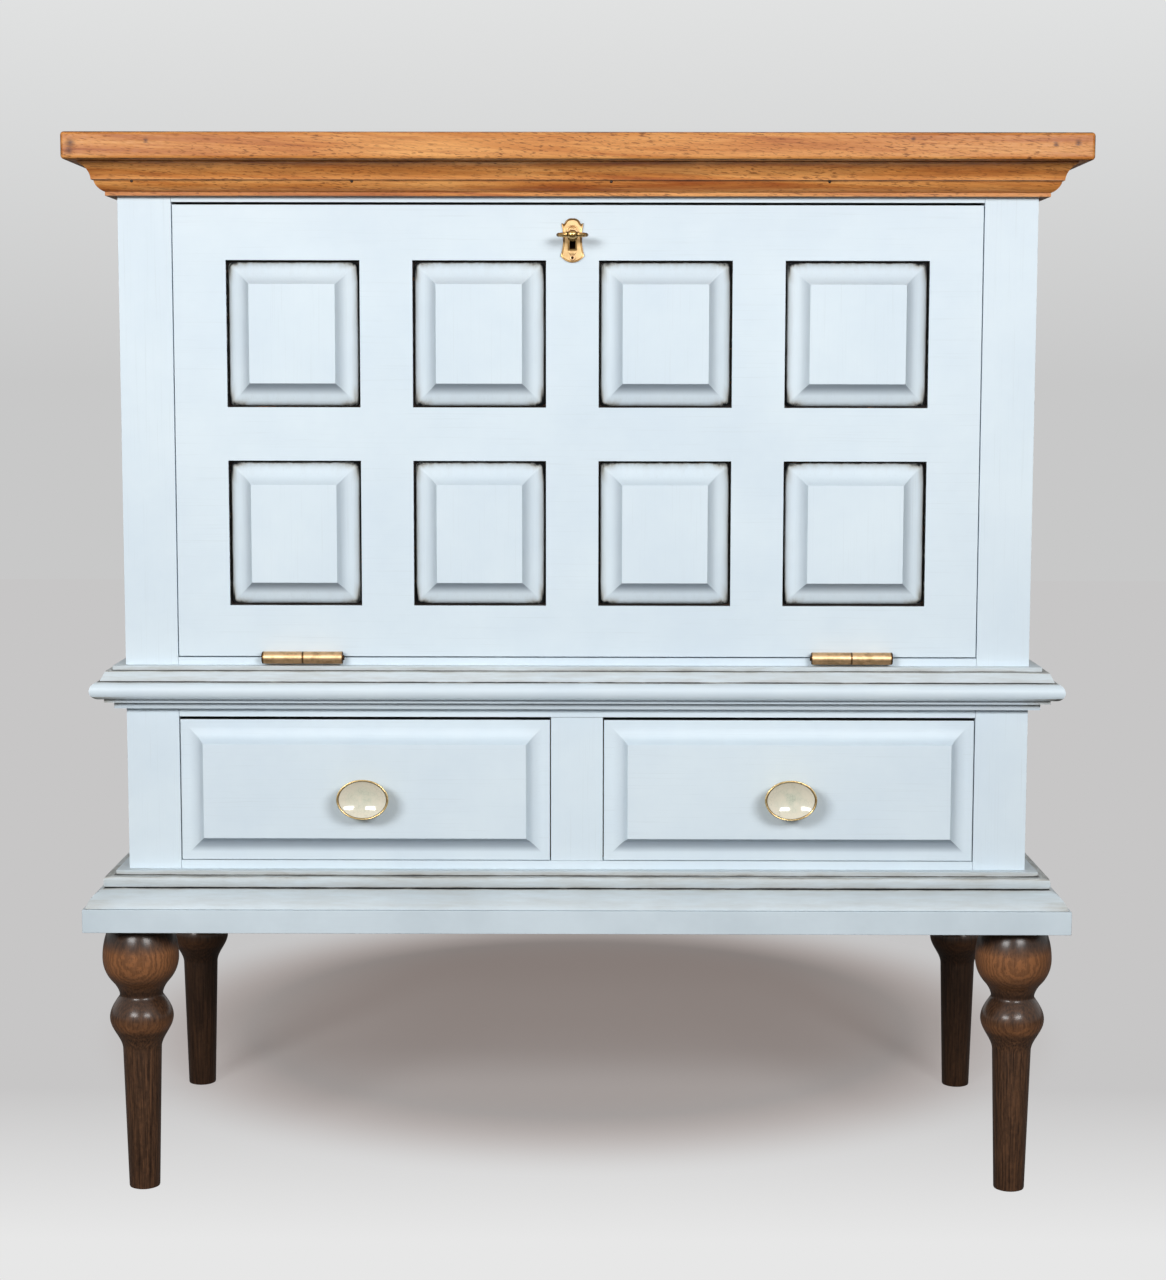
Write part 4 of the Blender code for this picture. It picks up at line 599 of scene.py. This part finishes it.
for row in ("front", "rear"):
    for hand in hands:
        nodeName = "leg_" + row + "_" + hand
        low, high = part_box(nodeName)
        bm = spun(legLine, leg["steps"], place=((low.x + high.x) / 2, (low.y + high.y) / 2, 0.0))
        dress(bm, nodeName + "_turning", legWood[row], [nodeName], curved=45)
print("legs turned")


# raised fronts: an upright board with rounded corners, extruded ring by ring up to its flat field;
# a ring is (inset, height, corner radius, wax held along the sides, wax held in the corners), in millimetres

cornerReach = 14  # how far the corners' wax runs along the sides
longSide = 0.05  # metres; only a front's four sides are longer


# painted shade: a grey-blue tone on the slopes round the field, deepest at its foot under the field's edge
def shadeSlopes(bm, low, high, tone):  # a grey tone on the slopes round the field, deepest at its foot
    shade, wax = bm.verts.layers.float.new("shade"), bm.verts.layers.float["glaze"]
    for vert in bm.verts:
        across, up = min(vert.co.x - low.x, high.x - vert.co.x) / mm, (vert.co.z - low.z) / mm
        inset = min(across, up, (high.z - vert.co.z) / mm)
        if tone["start"] < inset < tone["end"]:
            share = min((inset - tone["start"]) / (tone["full"] - tone["start"]), 1.0)
            vert[shade] = share * (tone["foot"] if inset == up else tone["side"] if inset == across else 0.0)
        if inset == up and up < tone["rim"] and across > cornerReach:
            vert[wax] *= tone["rimWax"]  # the dark rim is made lighter along the bottom edge


def raisedFront(low, high, rings):
    width, height = high.x - low.x, high.z - low.z
    bm = bmesh.new()
    layer = bm.verts.layers.float.new("glaze")
    radius = rings[0][2] * mm
    bmesh.ops.create_grid(bm, x_segments=1, y_segments=1, size=0.5,
                          matrix=Matrix.Rotation(math.pi / 2, 4, "X"))
    bmesh.ops.scale(bm, vec=(width, 1.0, height), verts=bm.verts[:])
    roundOff(bm, bm.verts[:], radius, 5, "VERTICES")
    sides = [edge for edge in bm.edges if edge.calc_length() > longSide]
    cuts = bmesh.ops.subdivide_edges(bm, edges=sides, cuts=2)["geom_inner"]
    reach = width / 2 - radius, height / 2 - radius  # the corner rounds' centres
    for vert in (item for item in cuts if isinstance(item, bmesh.types.BMVert)):
        along = 0 if abs(vert.co.x) < reach[0] else 2
        vert.co[along] = math.copysign(reach[along // 2] - cornerReach * mm, vert.co[along])
    bm.faces.ensure_lookup_table()
    face = bm.faces[0]
    for index, (inset, out, radius, sideWax, cornerWax) in enumerate(rings):
        if index:
            grown = bmesh.ops.extrude_face_region(bm, geom=[face])["geom"]
            if index > 1:
                bmesh.ops.delete(bm, geom=[face], context="FACES_ONLY")
            face = next(item for item in grown if isinstance(item, bmesh.types.BMFace))
        curve = radius * mm
        nextReach = width / 2 - inset * mm - curve, height / 2 - inset * mm - curve
        for vert in face.verts:
            across, up = abs(vert.co.x) - reach[0], abs(vert.co.z) - reach[1]
            onSide = across < -cutReach or up < -cutReach
            if onSide:
                spot = (nextReach[0] + (across if up > across else curve),
                        nextReach[1] + (up if across > up else curve))
            else:
                turn = math.atan2(up, across)
                spot = nextReach[0] + curve * math.cos(turn), nextReach[1] + curve * math.sin(turn)
            vert[layer] = sideWax if onSide else cornerWax
            vert.co = math.copysign(spot[0], vert.co.x), -out * mm, math.copysign(spot[1], vert.co.z)
        reach = nextReach
    bmesh.ops.translate(bm, vec=((low.x + high.x) / 2, high.y, (low.z + high.z) / 2), verts=bm.verts[:])
    return bm


# fall front's panels: a rounded border, then a hollow slope up to the field; the outer rings' black,
# in the gap round the panel, is dark glaze and painted shade
panelRings = [(0.0, 0.3, 4.2, 1.0, 1.0), (0.0, 3.0, 4.2, 1.0, 1.0), (0.3, 3.8, 4.1, 0.7, 1.0),
              (1.0, 5.0, 3.8, 0.36, 0.95), (2.0, 6.1, 3.3, 0.2, 0.72), (3.2, 7.0, 2.8, 0.14, 0.46),
              (4.6, 7.75, 2.3, 0.09, 0.26), (6.2, 8.4, 1.8, 0.06, 0.12), (8.0, 9.0, 1.4, 0.05, 0.06),
              (9.8, 9.6, 1.0, 0.05, 0.05), (10.7, 10.0, 0.8, 0.05, 0.05), (12.2, 10.6, 0.7, 0.04, 0.04),
              (14.0, 11.6, 0.6, 0.03, 0.03), (15.7, 13.0, 0.6, 0.03, 0.03), (17.3, 14.7, 0.6, 0.03, 0.03),
              (18.8, 16.8, 0.6, 0.04, 0.04), (20.25, 19.6, 0.7, 0.05, 0.05), (20.65, 20.02, 0.8, 0.0, 0.0),
              (21.3, 20.1, 0.8, 0.0, 0.0)]
panelTone = {"start": 9.9, "full": 17.0, "end": 20.5, "foot": 0.72, "side": 0.14, "rim": 5.0, "rimWax": 0.45}
for row in (1, 2):
    for column in (1, 2, 3, 4):
        nodeName = "fall_panel_%d_%d" % (row, column)
        low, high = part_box(nodeName)
        bm = raisedFront(low, high, panelRings)
        shadeSlopes(bm, low, high, panelTone)
        dress(bm, nodeName + "_raised", paintAlong["z"], [nodeName], sharp=24)

# fall front frame: the openings' walls hold dark wax and painted shade, and the keyhole's walls are painted
# black as shade
frameLook = {"ease": 0.5 * mm, "clean": 0.6 * mm, "cut": 0.7 * mm, "wax": 1.0, "border": 20 * mm,
             "topBorder": 40 * mm, "keyholeWide": 20 * mm, "keyholeDrop": (15 * mm, 45 * mm)}
frameLow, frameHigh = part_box("fall_frame")
fallFrame = solidCopy("fall_frame")
easeEdges(fallFrame, frameLook["ease"])
cutAcross(fallFrame, "y", [frameLow.y + frameLook["cut"]])


def openingWaxAndShade(co):
    if co.y < frameLow.y + frameLook["clean"]:
        return 0.0
    nearest, furthest = frameLook["keyholeDrop"]
    if abs(co.x) < frameLook["keyholeWide"] and nearest < frameHigh.z - co.z < furthest:
        return gapShade
    inside = (abs(co.x) < frameHigh.x - frameLook["border"]
              and frameLow.z + frameLook["border"] < co.z < frameHigh.z - frameLook["topBorder"])
    return frameLook["wax"] if inside else 0.0


dress(fallFrame, "fallFrame", paintAlong["x"], ["fall_frame"], glazeOf=openingWaxAndShade)

# drawer fronts: flat margin, cove and a soft-edged raised field; the top edge is painted black as the shade
# in the gap over it
drawerRings = [(0.0, 0.0, 0.5, 0.5, 0.5), (0.0, 19.2, 0.5, 0.3, 0.3), (0.25, 19.75, 0.5, 0.1, 0.1)]
drawerRings += [(inset, out, 0.5, 0.0, 0.0) for inset, out in (
    (0.8, 20.0), (7.0, 20.0), (8.5, 20.05), (11.0, 20.4), (13.5, 21.0), (15.9, 21.9), (17.7, 23.1),
    (19.0, 24.5), (20.1, 26.1), (21.1, 27.9), (22.1, 29.8), (22.7, 30.4), (23.5, 30.5))]
drawerTone = {"start": 8.2, "full": 14.5, "end": 22.4, "foot": 0.72, "side": 0.12, "rim": 0.0, "rimWax": 1.0}
topEdge = 0.1 * mm
for hand in hands:
    nodeName = "drawer_" + hand + "_front"
    low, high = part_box(nodeName)
    bm = raisedFront(low, high, drawerRings)
    shadeSlopes(bm, low, high, drawerTone)
    layer = bm.verts.layers.float["glaze"]
    for vert in bm.verts:
        if vert.co.z > high.z - topEdge:
            vert[layer] = gapShade
    dress(bm, nodeName + "_raised", paintAlong["x"], [nodeName], sharp=24)
print("raised fronts extruded")

# drawer knobs: an oval gilt cup and, set in it, a dished glazed face, the groove between them painted dark as
# shade; (radius, out) in millimetres
knob = {"cup": [(0.0, 0.3), (9.0, 0.3), (9.0, 1.4), (8.4, 2.2), (6.6, 4.2), (5.5, 6.5), (5.5, 10.2),
                (6.6, 12.4), (10.5, 14.6), (14.6, 16.7), (17.2, 18.6), (18.6, 20.3), (19.0, 21.3),
                (19.0, 22.5), (18.88, 23.1), (18.4, 23.5), (17.85, 23.3), (17.5, 22.7), (17.3, 21.6),
                (16.5, 20.6), (0.0, 16.6)],
        "length": 23.5, "groove": 17.7, "grooveFrom": 20, "grooveGrime": 1.15,
        "dish": [(0.0, 16.8), (16.4, 20.8), (17.2, 21.8), (17.2, 22.6)], "dishBottom": (0.0, 17.2),
        "dishSwell": 1.4, "pool": 14, "neckEnd": 11.3, "shoulder": 3.3, "oval": 49 / 38, "steps": 72}
dishLine = knob["dish"] + arcPoints(knob["dish"][-1], knob["dishBottom"], knob["dishSwell"], 12)


def ovalled(profile, centre):
    bm = spun(profile, knob["steps"], "-Y")
    for vert in bm.verts:
        share = min(max((-vert.co.y / mm - knob["neckEnd"]) / knob["shoulder"], 0.0), 1.0)
        vert.co.x *= 1 + (knob["oval"] - 1) * share
    bmesh.ops.translate(bm, vec=centre, verts=bm.verts[:])
    return bm


for hand in hands:
    body = "drawer_" + hand
    low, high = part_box(body + "_knob")
    centre = Vector(((low.x + high.x) / 2, low.y + knob["length"] * mm, (low.z + high.z) / 2))

    def fromCentre(co):
        return math.hypot((co.x - centre.x) / knob["oval"], co.z - centre.z) / mm

    def grooveGrime(co):
        inGroove = fromCentre(co) < knob["groove"] and centre.y - co.y > knob["grooveFrom"] * mm
        return knob["grooveGrime"] if inGroove else 0.0

    dress(ovalled(knob["cup"], centre), body + "_knobCup", gilt, [body + "_knob"],
          curved=60, glazeOf=grooveGrime)
    dress(ovalled(dishLine, centre), body + "_knobDish", glaze, body=body, curved=60,
          glazeOf=lambda co: max(0.0, 1 - fromCentre(co) / knob["pool"]))
print("knobs set")

# hinges: two knuckles each, dark where they meet and at their ends
hingeLook = {"pinTip": 1.2, "dark": 0.5, "soiled": 1.17, "clean": 1.3, "darkGrime": 1.4, "soiledGrime": 0.7}
for hand in hands:
    leaves = ["hinge_%s_%s_leaf" % (hand, part) for part in ("frame", "door")]
    boxes = [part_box(leafName) for leafName in leaves]
    start = min(low.x for low, high in boxes) + hingeLook["pinTip"] * mm
    end = max(high.x for low, high in boxes) - hingeLook["pinTip"] * mm
    middle = (start + end) / 2
    clean = hingeLook["clean"] * mm

    def knuckleGrime(co):
        away = min(abs(co.x - middle), co.x - start, end - co.x) / mm
        if away < hingeLook["dark"]:
            return hingeLook["darkGrime"]
        return hingeLook["soiledGrime"] if away < hingeLook["soiled"] else 0.0

    for leafName in leaves:
        leaf = solidCopy(leafName)
        cutAcross(leaf, "x", [start + clean, middle - clean, middle + clean, end - clean])
        dress(leaf, leafName + "_fitting", brass, [leafName], curved=32, glazeOf=knuckleGrime)

# stays, lock and bolt: the CAD solids with slightly broken edges, the lock case's inside painted black as
# shade, so the keyhole reads dark
fittingLook = {"ease": 0.15 * mm, "oil": 1.4, "wall": 1.0 * mm}
fittings = {"stay_left": (brass, "brass"), "stay_right": (brass, "brass"), "lock_case": (steel, "steel"),
            "lock_bolt": (steel, "steel")}
caseLow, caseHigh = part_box("lock_case")


def caseInsideShade(co):
    inside = min(*(co - caseLow), *(caseHigh - co)) > fittingLook["wall"]
    return fittingLook["oil"] if inside else 0.0


for nodeName, (metal, slotName) in fittings.items():
    fitting = solidCopy(nodeName)
    easeEdges(fitting, fittingLook["ease"], 1)
    dress(fitting, nodeName + "_fitting", metal, [nodeName], curved=32, glazeOf=caseInsideShade)

# key: the bow's ends are dark with handling; a turned bead sits on the middle of its front bar
keyLook = {"drop": 16.3, "bar": 1.8, "steps": 40, "cut": 12.0, "handled": 12.5, "handling": 0.9,
           "grime": 0.15, "bead": [(0.0, 6.2), (1.7, 6.2), (2.5, 6.0), (2.75, 5.4), (2.5, 4.8), (2.0, 4.4),
                                  (3.1, 3.5), (3.9, 2.0), (4.2, 0.0)],
           "beadGroove": (4.2, 4.6)}
plateLow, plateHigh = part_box("escutcheon")
lockX = (plateLow.x + plateHigh.x) / 2
keyHeight = plateHigh.z - keyLook["drop"] * mm
key = solidCopy("key")
cutAcross(key, "x", [lockX - keyLook["cut"] * mm, lockX + keyLook["cut"] * mm])
dress(key, "key_fitting", keyBrass, ["key"], curved=32,
      glazeOf=lambda co: keyLook["handling" if abs(co.x - lockX) > keyLook["handled"] * mm else "grime"])
beadLine = [(radius, -along) for radius, along in keyLook["bead"]] + keyLook["bead"][-2::-1]
grooveStart, grooveEnd = keyLook["beadGroove"]
bead = spun(beadLine, keyLook["steps"], "X", (lockX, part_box("key")[0].y + keyLook["bar"] * mm, keyHeight))
dress(bead, "keyBead", keyBrass, body=nodes["key"]["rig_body"], curved=50,
      glazeOf=lambda co: 1.0 if grooveStart < abs(co.x - lockX) / mm < grooveEnd else 0.0)

# escutcheon: a stamped plate, its rim and the keyhole's rim raised, grime in the hollows;
# each step is (inset, lift, grime) and each rib (radius, rise from the key, way), in millimetres
plateLook = {"front": -0.9, "wall": 1.3, "steps": [(0.65, 0.0, 0.05), (0.5, -0.55, 1.1), (0.8, 0.0, 0.05)],
             "sunk": 0.55, "ribs": [(5.0, 4.4, 1), (2.6, 5.4, 1), (2.9, -14.0, -1)], "tube": 0.75,
             "tubeSides": 10, "ribSteps": 16, "upperGrime": 0.7, "lowerGrime": 0.3, "ribFoot": 0.225,
             "pin": [(0.0, -0.2), (2.7, -0.2), (2.7, 0.3), (2.3, 0.75), (1.7, 0.85), (1.3, 0.6), (1.0, 0.1),
                     (0.0, 0.05)],
             "pinDrop": 19.8, "pinSteps": 28, "pinHole": 1.05, "pinGrime": 1.4}
plateBody = nodes["escutcheon"]["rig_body"]
plate = solidCopy("escutcheon")
layer = plate.verts.layers.float.new("glaze")
plate.normal_update()
faces = [face for face in plate.faces if face.normal.y < plateLook["front"]]
for vert in plate.verts:
    vert[layer] = plateLook["wall"]
for inset, lift, grime in plateLook["steps"]:
    bmesh.ops.inset_region(plate, faces=faces, thickness=inset * mm, depth=lift * mm, use_even_offset=True,
                           use_boundary=True)
    for vert in {vert for face in faces for vert in face.verts}:
        vert[layer] = grime
dress(plate, "escutcheonPlate", stampedBrass, ["escutcheon"], curved=40)

sunk = plateLow.y + plateLook["sunk"] * mm
ribs = bmesh.new()
for radius, rise, way in plateLook["ribs"]:
    middle = Vector((lockX, sunk, keyHeight + rise * mm))
    ring = bmesh.ops.create_circle(ribs, cap_ends=True, radius=plateLook["tube"] * mm,
                                   segments=plateLook["tubeSides"],
                                   matrix=Matrix.Translation(middle + Vector((radius * mm, 0, 0))))["verts"]
    around = {item for vert in ring for item in [*vert.link_edges, *vert.link_faces]}
    bmesh.ops.spin(ribs, geom=ring + list(around), cent=middle, axis=(0, -way, 0), angle=math.pi,
                   steps=plateLook["ribSteps"])


def ribGrime(co):
    if co.y <= sunk - plateLook["ribFoot"] * mm:
        return 0.0
    return plateLook["upperGrime" if co.z > keyHeight else "lowerGrime"]


dress(ribs, "escutcheonRibs", stampedBrass, body=plateBody, curved=50, glazeOf=ribGrime)
pinHeight = keyHeight - plateLook["pinDrop"] * mm
pin = spun(plateLook["pin"], plateLook["pinSteps"], "-Y", (lockX, sunk, pinHeight))


# painted shade: the pin's centre is painted dark as the shade of a hole
def pinGrime(co):
    inHole = math.hypot(co.x - lockX, co.z - pinHeight) < plateLook["pinHole"] * mm
    return plateLook["pinGrime"] if inHole else 0.0


dress(pin, "escutcheonPin", brass, body=plateBody, curved=50, glazeOf=pinGrime)

# nails and screws: small domed heads; the shape is (radius, out) as shares of the head's radius
headLook = {"shape": [(0.0, 0.36), (0.45, 0.32), (0.8, 0.18), (1.0, 0.0), (1.0, -0.25), (0.0, -0.25)],
            "steps": 16, "corniceNail": 1.4, "corniceX": (-0.409, -0.207, 0.031, 0.231), "corniceOut": 18.0,
            "corniceRise": 12.7, "backNail": 2.0, "backInset": 8, "backRows": 7, "lockScrew": 2.4,
            "lockInset": 5, "stayScrew": 2.6, "stayInset": 6, "staySunk": 2, "stayDrops": (7, 33)}


def heads(name, radius, axis, across, y, heights, metal, carrier):
    shape = [(share * radius, out * radius) for share, out in headLook["shape"]]
    whole, mesh = bmesh.new(), bpy.data.meshes.new("head")
    for place in ((x, y, z) for x in across for z in heights):
        head = spun(shape, headLook["steps"], axis, place)
        head.to_mesh(mesh)
        head.free()
        whole.from_mesh(mesh)
    bpy.data.meshes.remove(mesh)
    dress(whole, name, metal, body=nodes[carrier]["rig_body"], curved=60)


def inFrom(low, high, inset):
    return low + inset * mm, high - inset * mm


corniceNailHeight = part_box("cornice_front")[0].z + headLook["corniceRise"] * mm
heads("corniceNails", headLook["corniceNail"], "-Y", headLook["corniceX"],
      frontFace - headLook["corniceOut"] * mm, [corniceNailHeight], iron, "cornice_front")
low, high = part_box("back_panel")
rows = headLook["backRows"]
heads("backNails", headLook["backNail"], "Y", inFrom(low.x, high.x, headLook["backInset"]), high.y,
      [low.z + (high.z - low.z) * (row + 0.5) / rows for row in range(rows)], iron, "back_panel")
heads("lockScrews", headLook["lockScrew"], "Y", inFrom(caseLow.x, caseHigh.x, headLook["lockInset"]),
      caseHigh.y, inFrom(caseLow.z, caseHigh.z, headLook["lockInset"]), steel, "lock_case")
for hand, side in (("left", 1), ("right", 0)):
    low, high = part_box("stay_" + hand)
    heads("stay_" + hand + "_screws", headLook["stayScrew"], "Y",
          [inFrom(low.x, high.x, headLook["stayInset"])[side]], low.y + headLook["staySunk"] * mm,
          [high.z - drop * mm for drop in headLook["stayDrops"]], brass, "stay_" + hand)
print("fittings dressed")

# floor: pale and plain, lit evenly to the camera away from the cabinet, with its shadow kept underneath;
# there a quarter of what the camera sees is a painted warm shade colour that glows
floorLook = {"colour": "#D7D6D5", "bounce": "#757371", "front": "#E7E7E7", "far": "#C7C6C6",
             "shade": "#BFA79E", "shadeShare": 0.25, "size": 14.0, "middle": (0.0, 0.45, 0.0), "near": 0.30,
             "fade": 0.60, "frontEdge": -0.32, "backEdge": 0.15}
floorMesh = bmesh.new()
bmesh.ops.create_grid(floorMesh, x_segments=1, y_segments=1, size=floorLook["size"] / 2)
mesh = bpy.data.meshes.new("studioFloor")
floorMesh.to_mesh(mesh)
floorMesh.free()
floor = newObject("studioFloor", mesh)
floorPaint, add = newMaterial("studioFloorPaint", Roughness=0.9)
place = add("TexCoord", output="Object")
centred = add("VectorMath", (place, floorLook["middle"]), operation="SUBTRACT")
distance = add("VectorMath", (centred,), "Value", operation="LENGTH")
away = add("MapRange", (distance, floorLook["near"], floorLook["fade"]), interpolation_type="SMOOTHSTEP")
depth = add("SeparateXYZ", (place,), "Y")
back = add("MapRange", (depth, floorLook["frontEdge"], floorLook["backEdge"]))
farTone = add("Mix", {0: back, 6: floorLook["front"], 7: floorLook["far"]}, 2, data_type="RGBA")
# painted shade: near the cabinet the glow takes the warm shade colour
glowTone = add("Mix", {0: away, 6: floorLook["shade"], 7: farTone}, 2, data_type="RGBA")
glow = add("Emission", {"Color": glowTone, "Strength": 1.0})
share = add("Math", (away, floorLook["shadeShare"]), operation="MAXIMUM")
seenFloor = add("LightPath", output="Is Camera Ray")
floorTone = add("Mix", {0: seenFloor, 6: floorLook["bounce"], 7: floorLook["colour"]}, 2, data_type="RGBA")
glowing = add("Math", (share, seenFloor), operation="MULTIPLY")
floorTree = floorPaint.node_tree
floorShader = floorTree.nodes["Principled BSDF"]
mixed = add("MixShader", (glowing, floorShader.outputs[0], glow))
floorTree.links.new(floorTone, floorShader.inputs["Base Color"])
floorTree.links.new(mixed, floorTree.nodes["Material Output"].inputs[0])
mesh.materials.append(floorPaint)

# light: a soft surround and two softboxes in front; a lamp is (name, place, aim, watts, size, spread)
softbox = (1.0, 0.55)
lightLook = {"frontFill": 0.14, "backFill": 0.42, "fillEdge": 0.6, "low": "#C8C8C8", "high": "#E2E3E3",
             "horizon": 0.16, "lamps": [
                 ("softboxLeft", (-1.25, -2.5, 1.42), (0.0, -0.1, 0.6), 36.6, softbox, 180),
                 ("softboxRight", (1.0, -2.5, 1.42), (0.0, -0.1, 0.6), 32.8, softbox, 180),
                 ("softboxTop", (0.0, 0.0, 1.55), None, 0.75, (0.8, 0.34), 45)]}  # on the top board only
world = bpy.data.worlds.new("studio")
bpy.context.scene.world = world
world.use_nodes = True
add = partial(addNode, world)
background = world.node_tree.nodes["Background"]
sky = add("SeparateXYZ", (add("TexCoord", output="Generated"),), "Z").node
skyHeight = add("MapRange", (sky.outputs["Z"], 0.0, lightLook["horizon"]))
skyTone = add("ValToRGB", (skyHeight,), ramp=[(0.0, lightLook["low"]), (1.0, lightLook["high"])])
rays = add("LightPath").node
seen = add("Math", (rays.outputs["Is Glossy Ray"], rays.outputs["Is Transmission Ray"]), operation="MAXIMUM")
seen = add("Math", (rays.outputs["Is Camera Ray"], seen), operation="MAXIMUM")
fill = add("MapRange", (sky.outputs["Y"], 0.0, lightLook["fillEdge"], lightLook["frontFill"],
                        lightLook["backFill"]))
strength = add("Math", (fill, seen), operation="MAXIMUM")
world.node_tree.links.new(skyTone, background.inputs["Color"])
world.node_tree.links.new(strength, background.inputs["Strength"])
for name, spot, aim, power, size, spread in lightLook["lamps"]:
    lamp = bpy.data.lights.new(name, "AREA")
    lamp.shape = "RECTANGLE"
    lamp.energy = power
    lamp.size, lamp.size_y = size
    lamp.spread = math.radians(spread)
    holder = newObject(name, lamp)
    holder.location = spot
    if aim:
        holder.rotation_euler = (Vector(aim) - Vector(spot)).to_track_quat("-Z", "Y").to_euler()

# the photograph's camera, angles in degrees
cameraLook = {"place": (0.0149, -2.447, 0.7766), "pitch": 6.118, "yaw": -0.2356, "roll": 0.0872,
              "focalPixels": 2417.55, "frameHeight": 1280, "sensor": 36.0}
lens = bpy.data.cameras.new("photoCamera")
lens.sensor_fit = "VERTICAL"
lens.sensor_height = cameraLook["sensor"]
lens.lens = cameraLook["focalPixels"] / cameraLook["frameHeight"] * cameraLook["sensor"]
camera = newObject("photoCamera", lens)
camera.matrix_world = (Matrix.Translation(cameraLook["place"])
                       @ Matrix.Rotation(math.radians(-cameraLook["yaw"]), 4, "Z")
                       @ Matrix.Rotation(math.radians(90 - cameraLook["pitch"]), 4, "X")
                       @ Matrix.Rotation(math.radians(cameraLook["roll"]), 4, "Z"))
bpy.context.scene.camera = camera
bpy.context.scene.view_settings.view_transform = "Standard"

bpy.context.view_layer.update()
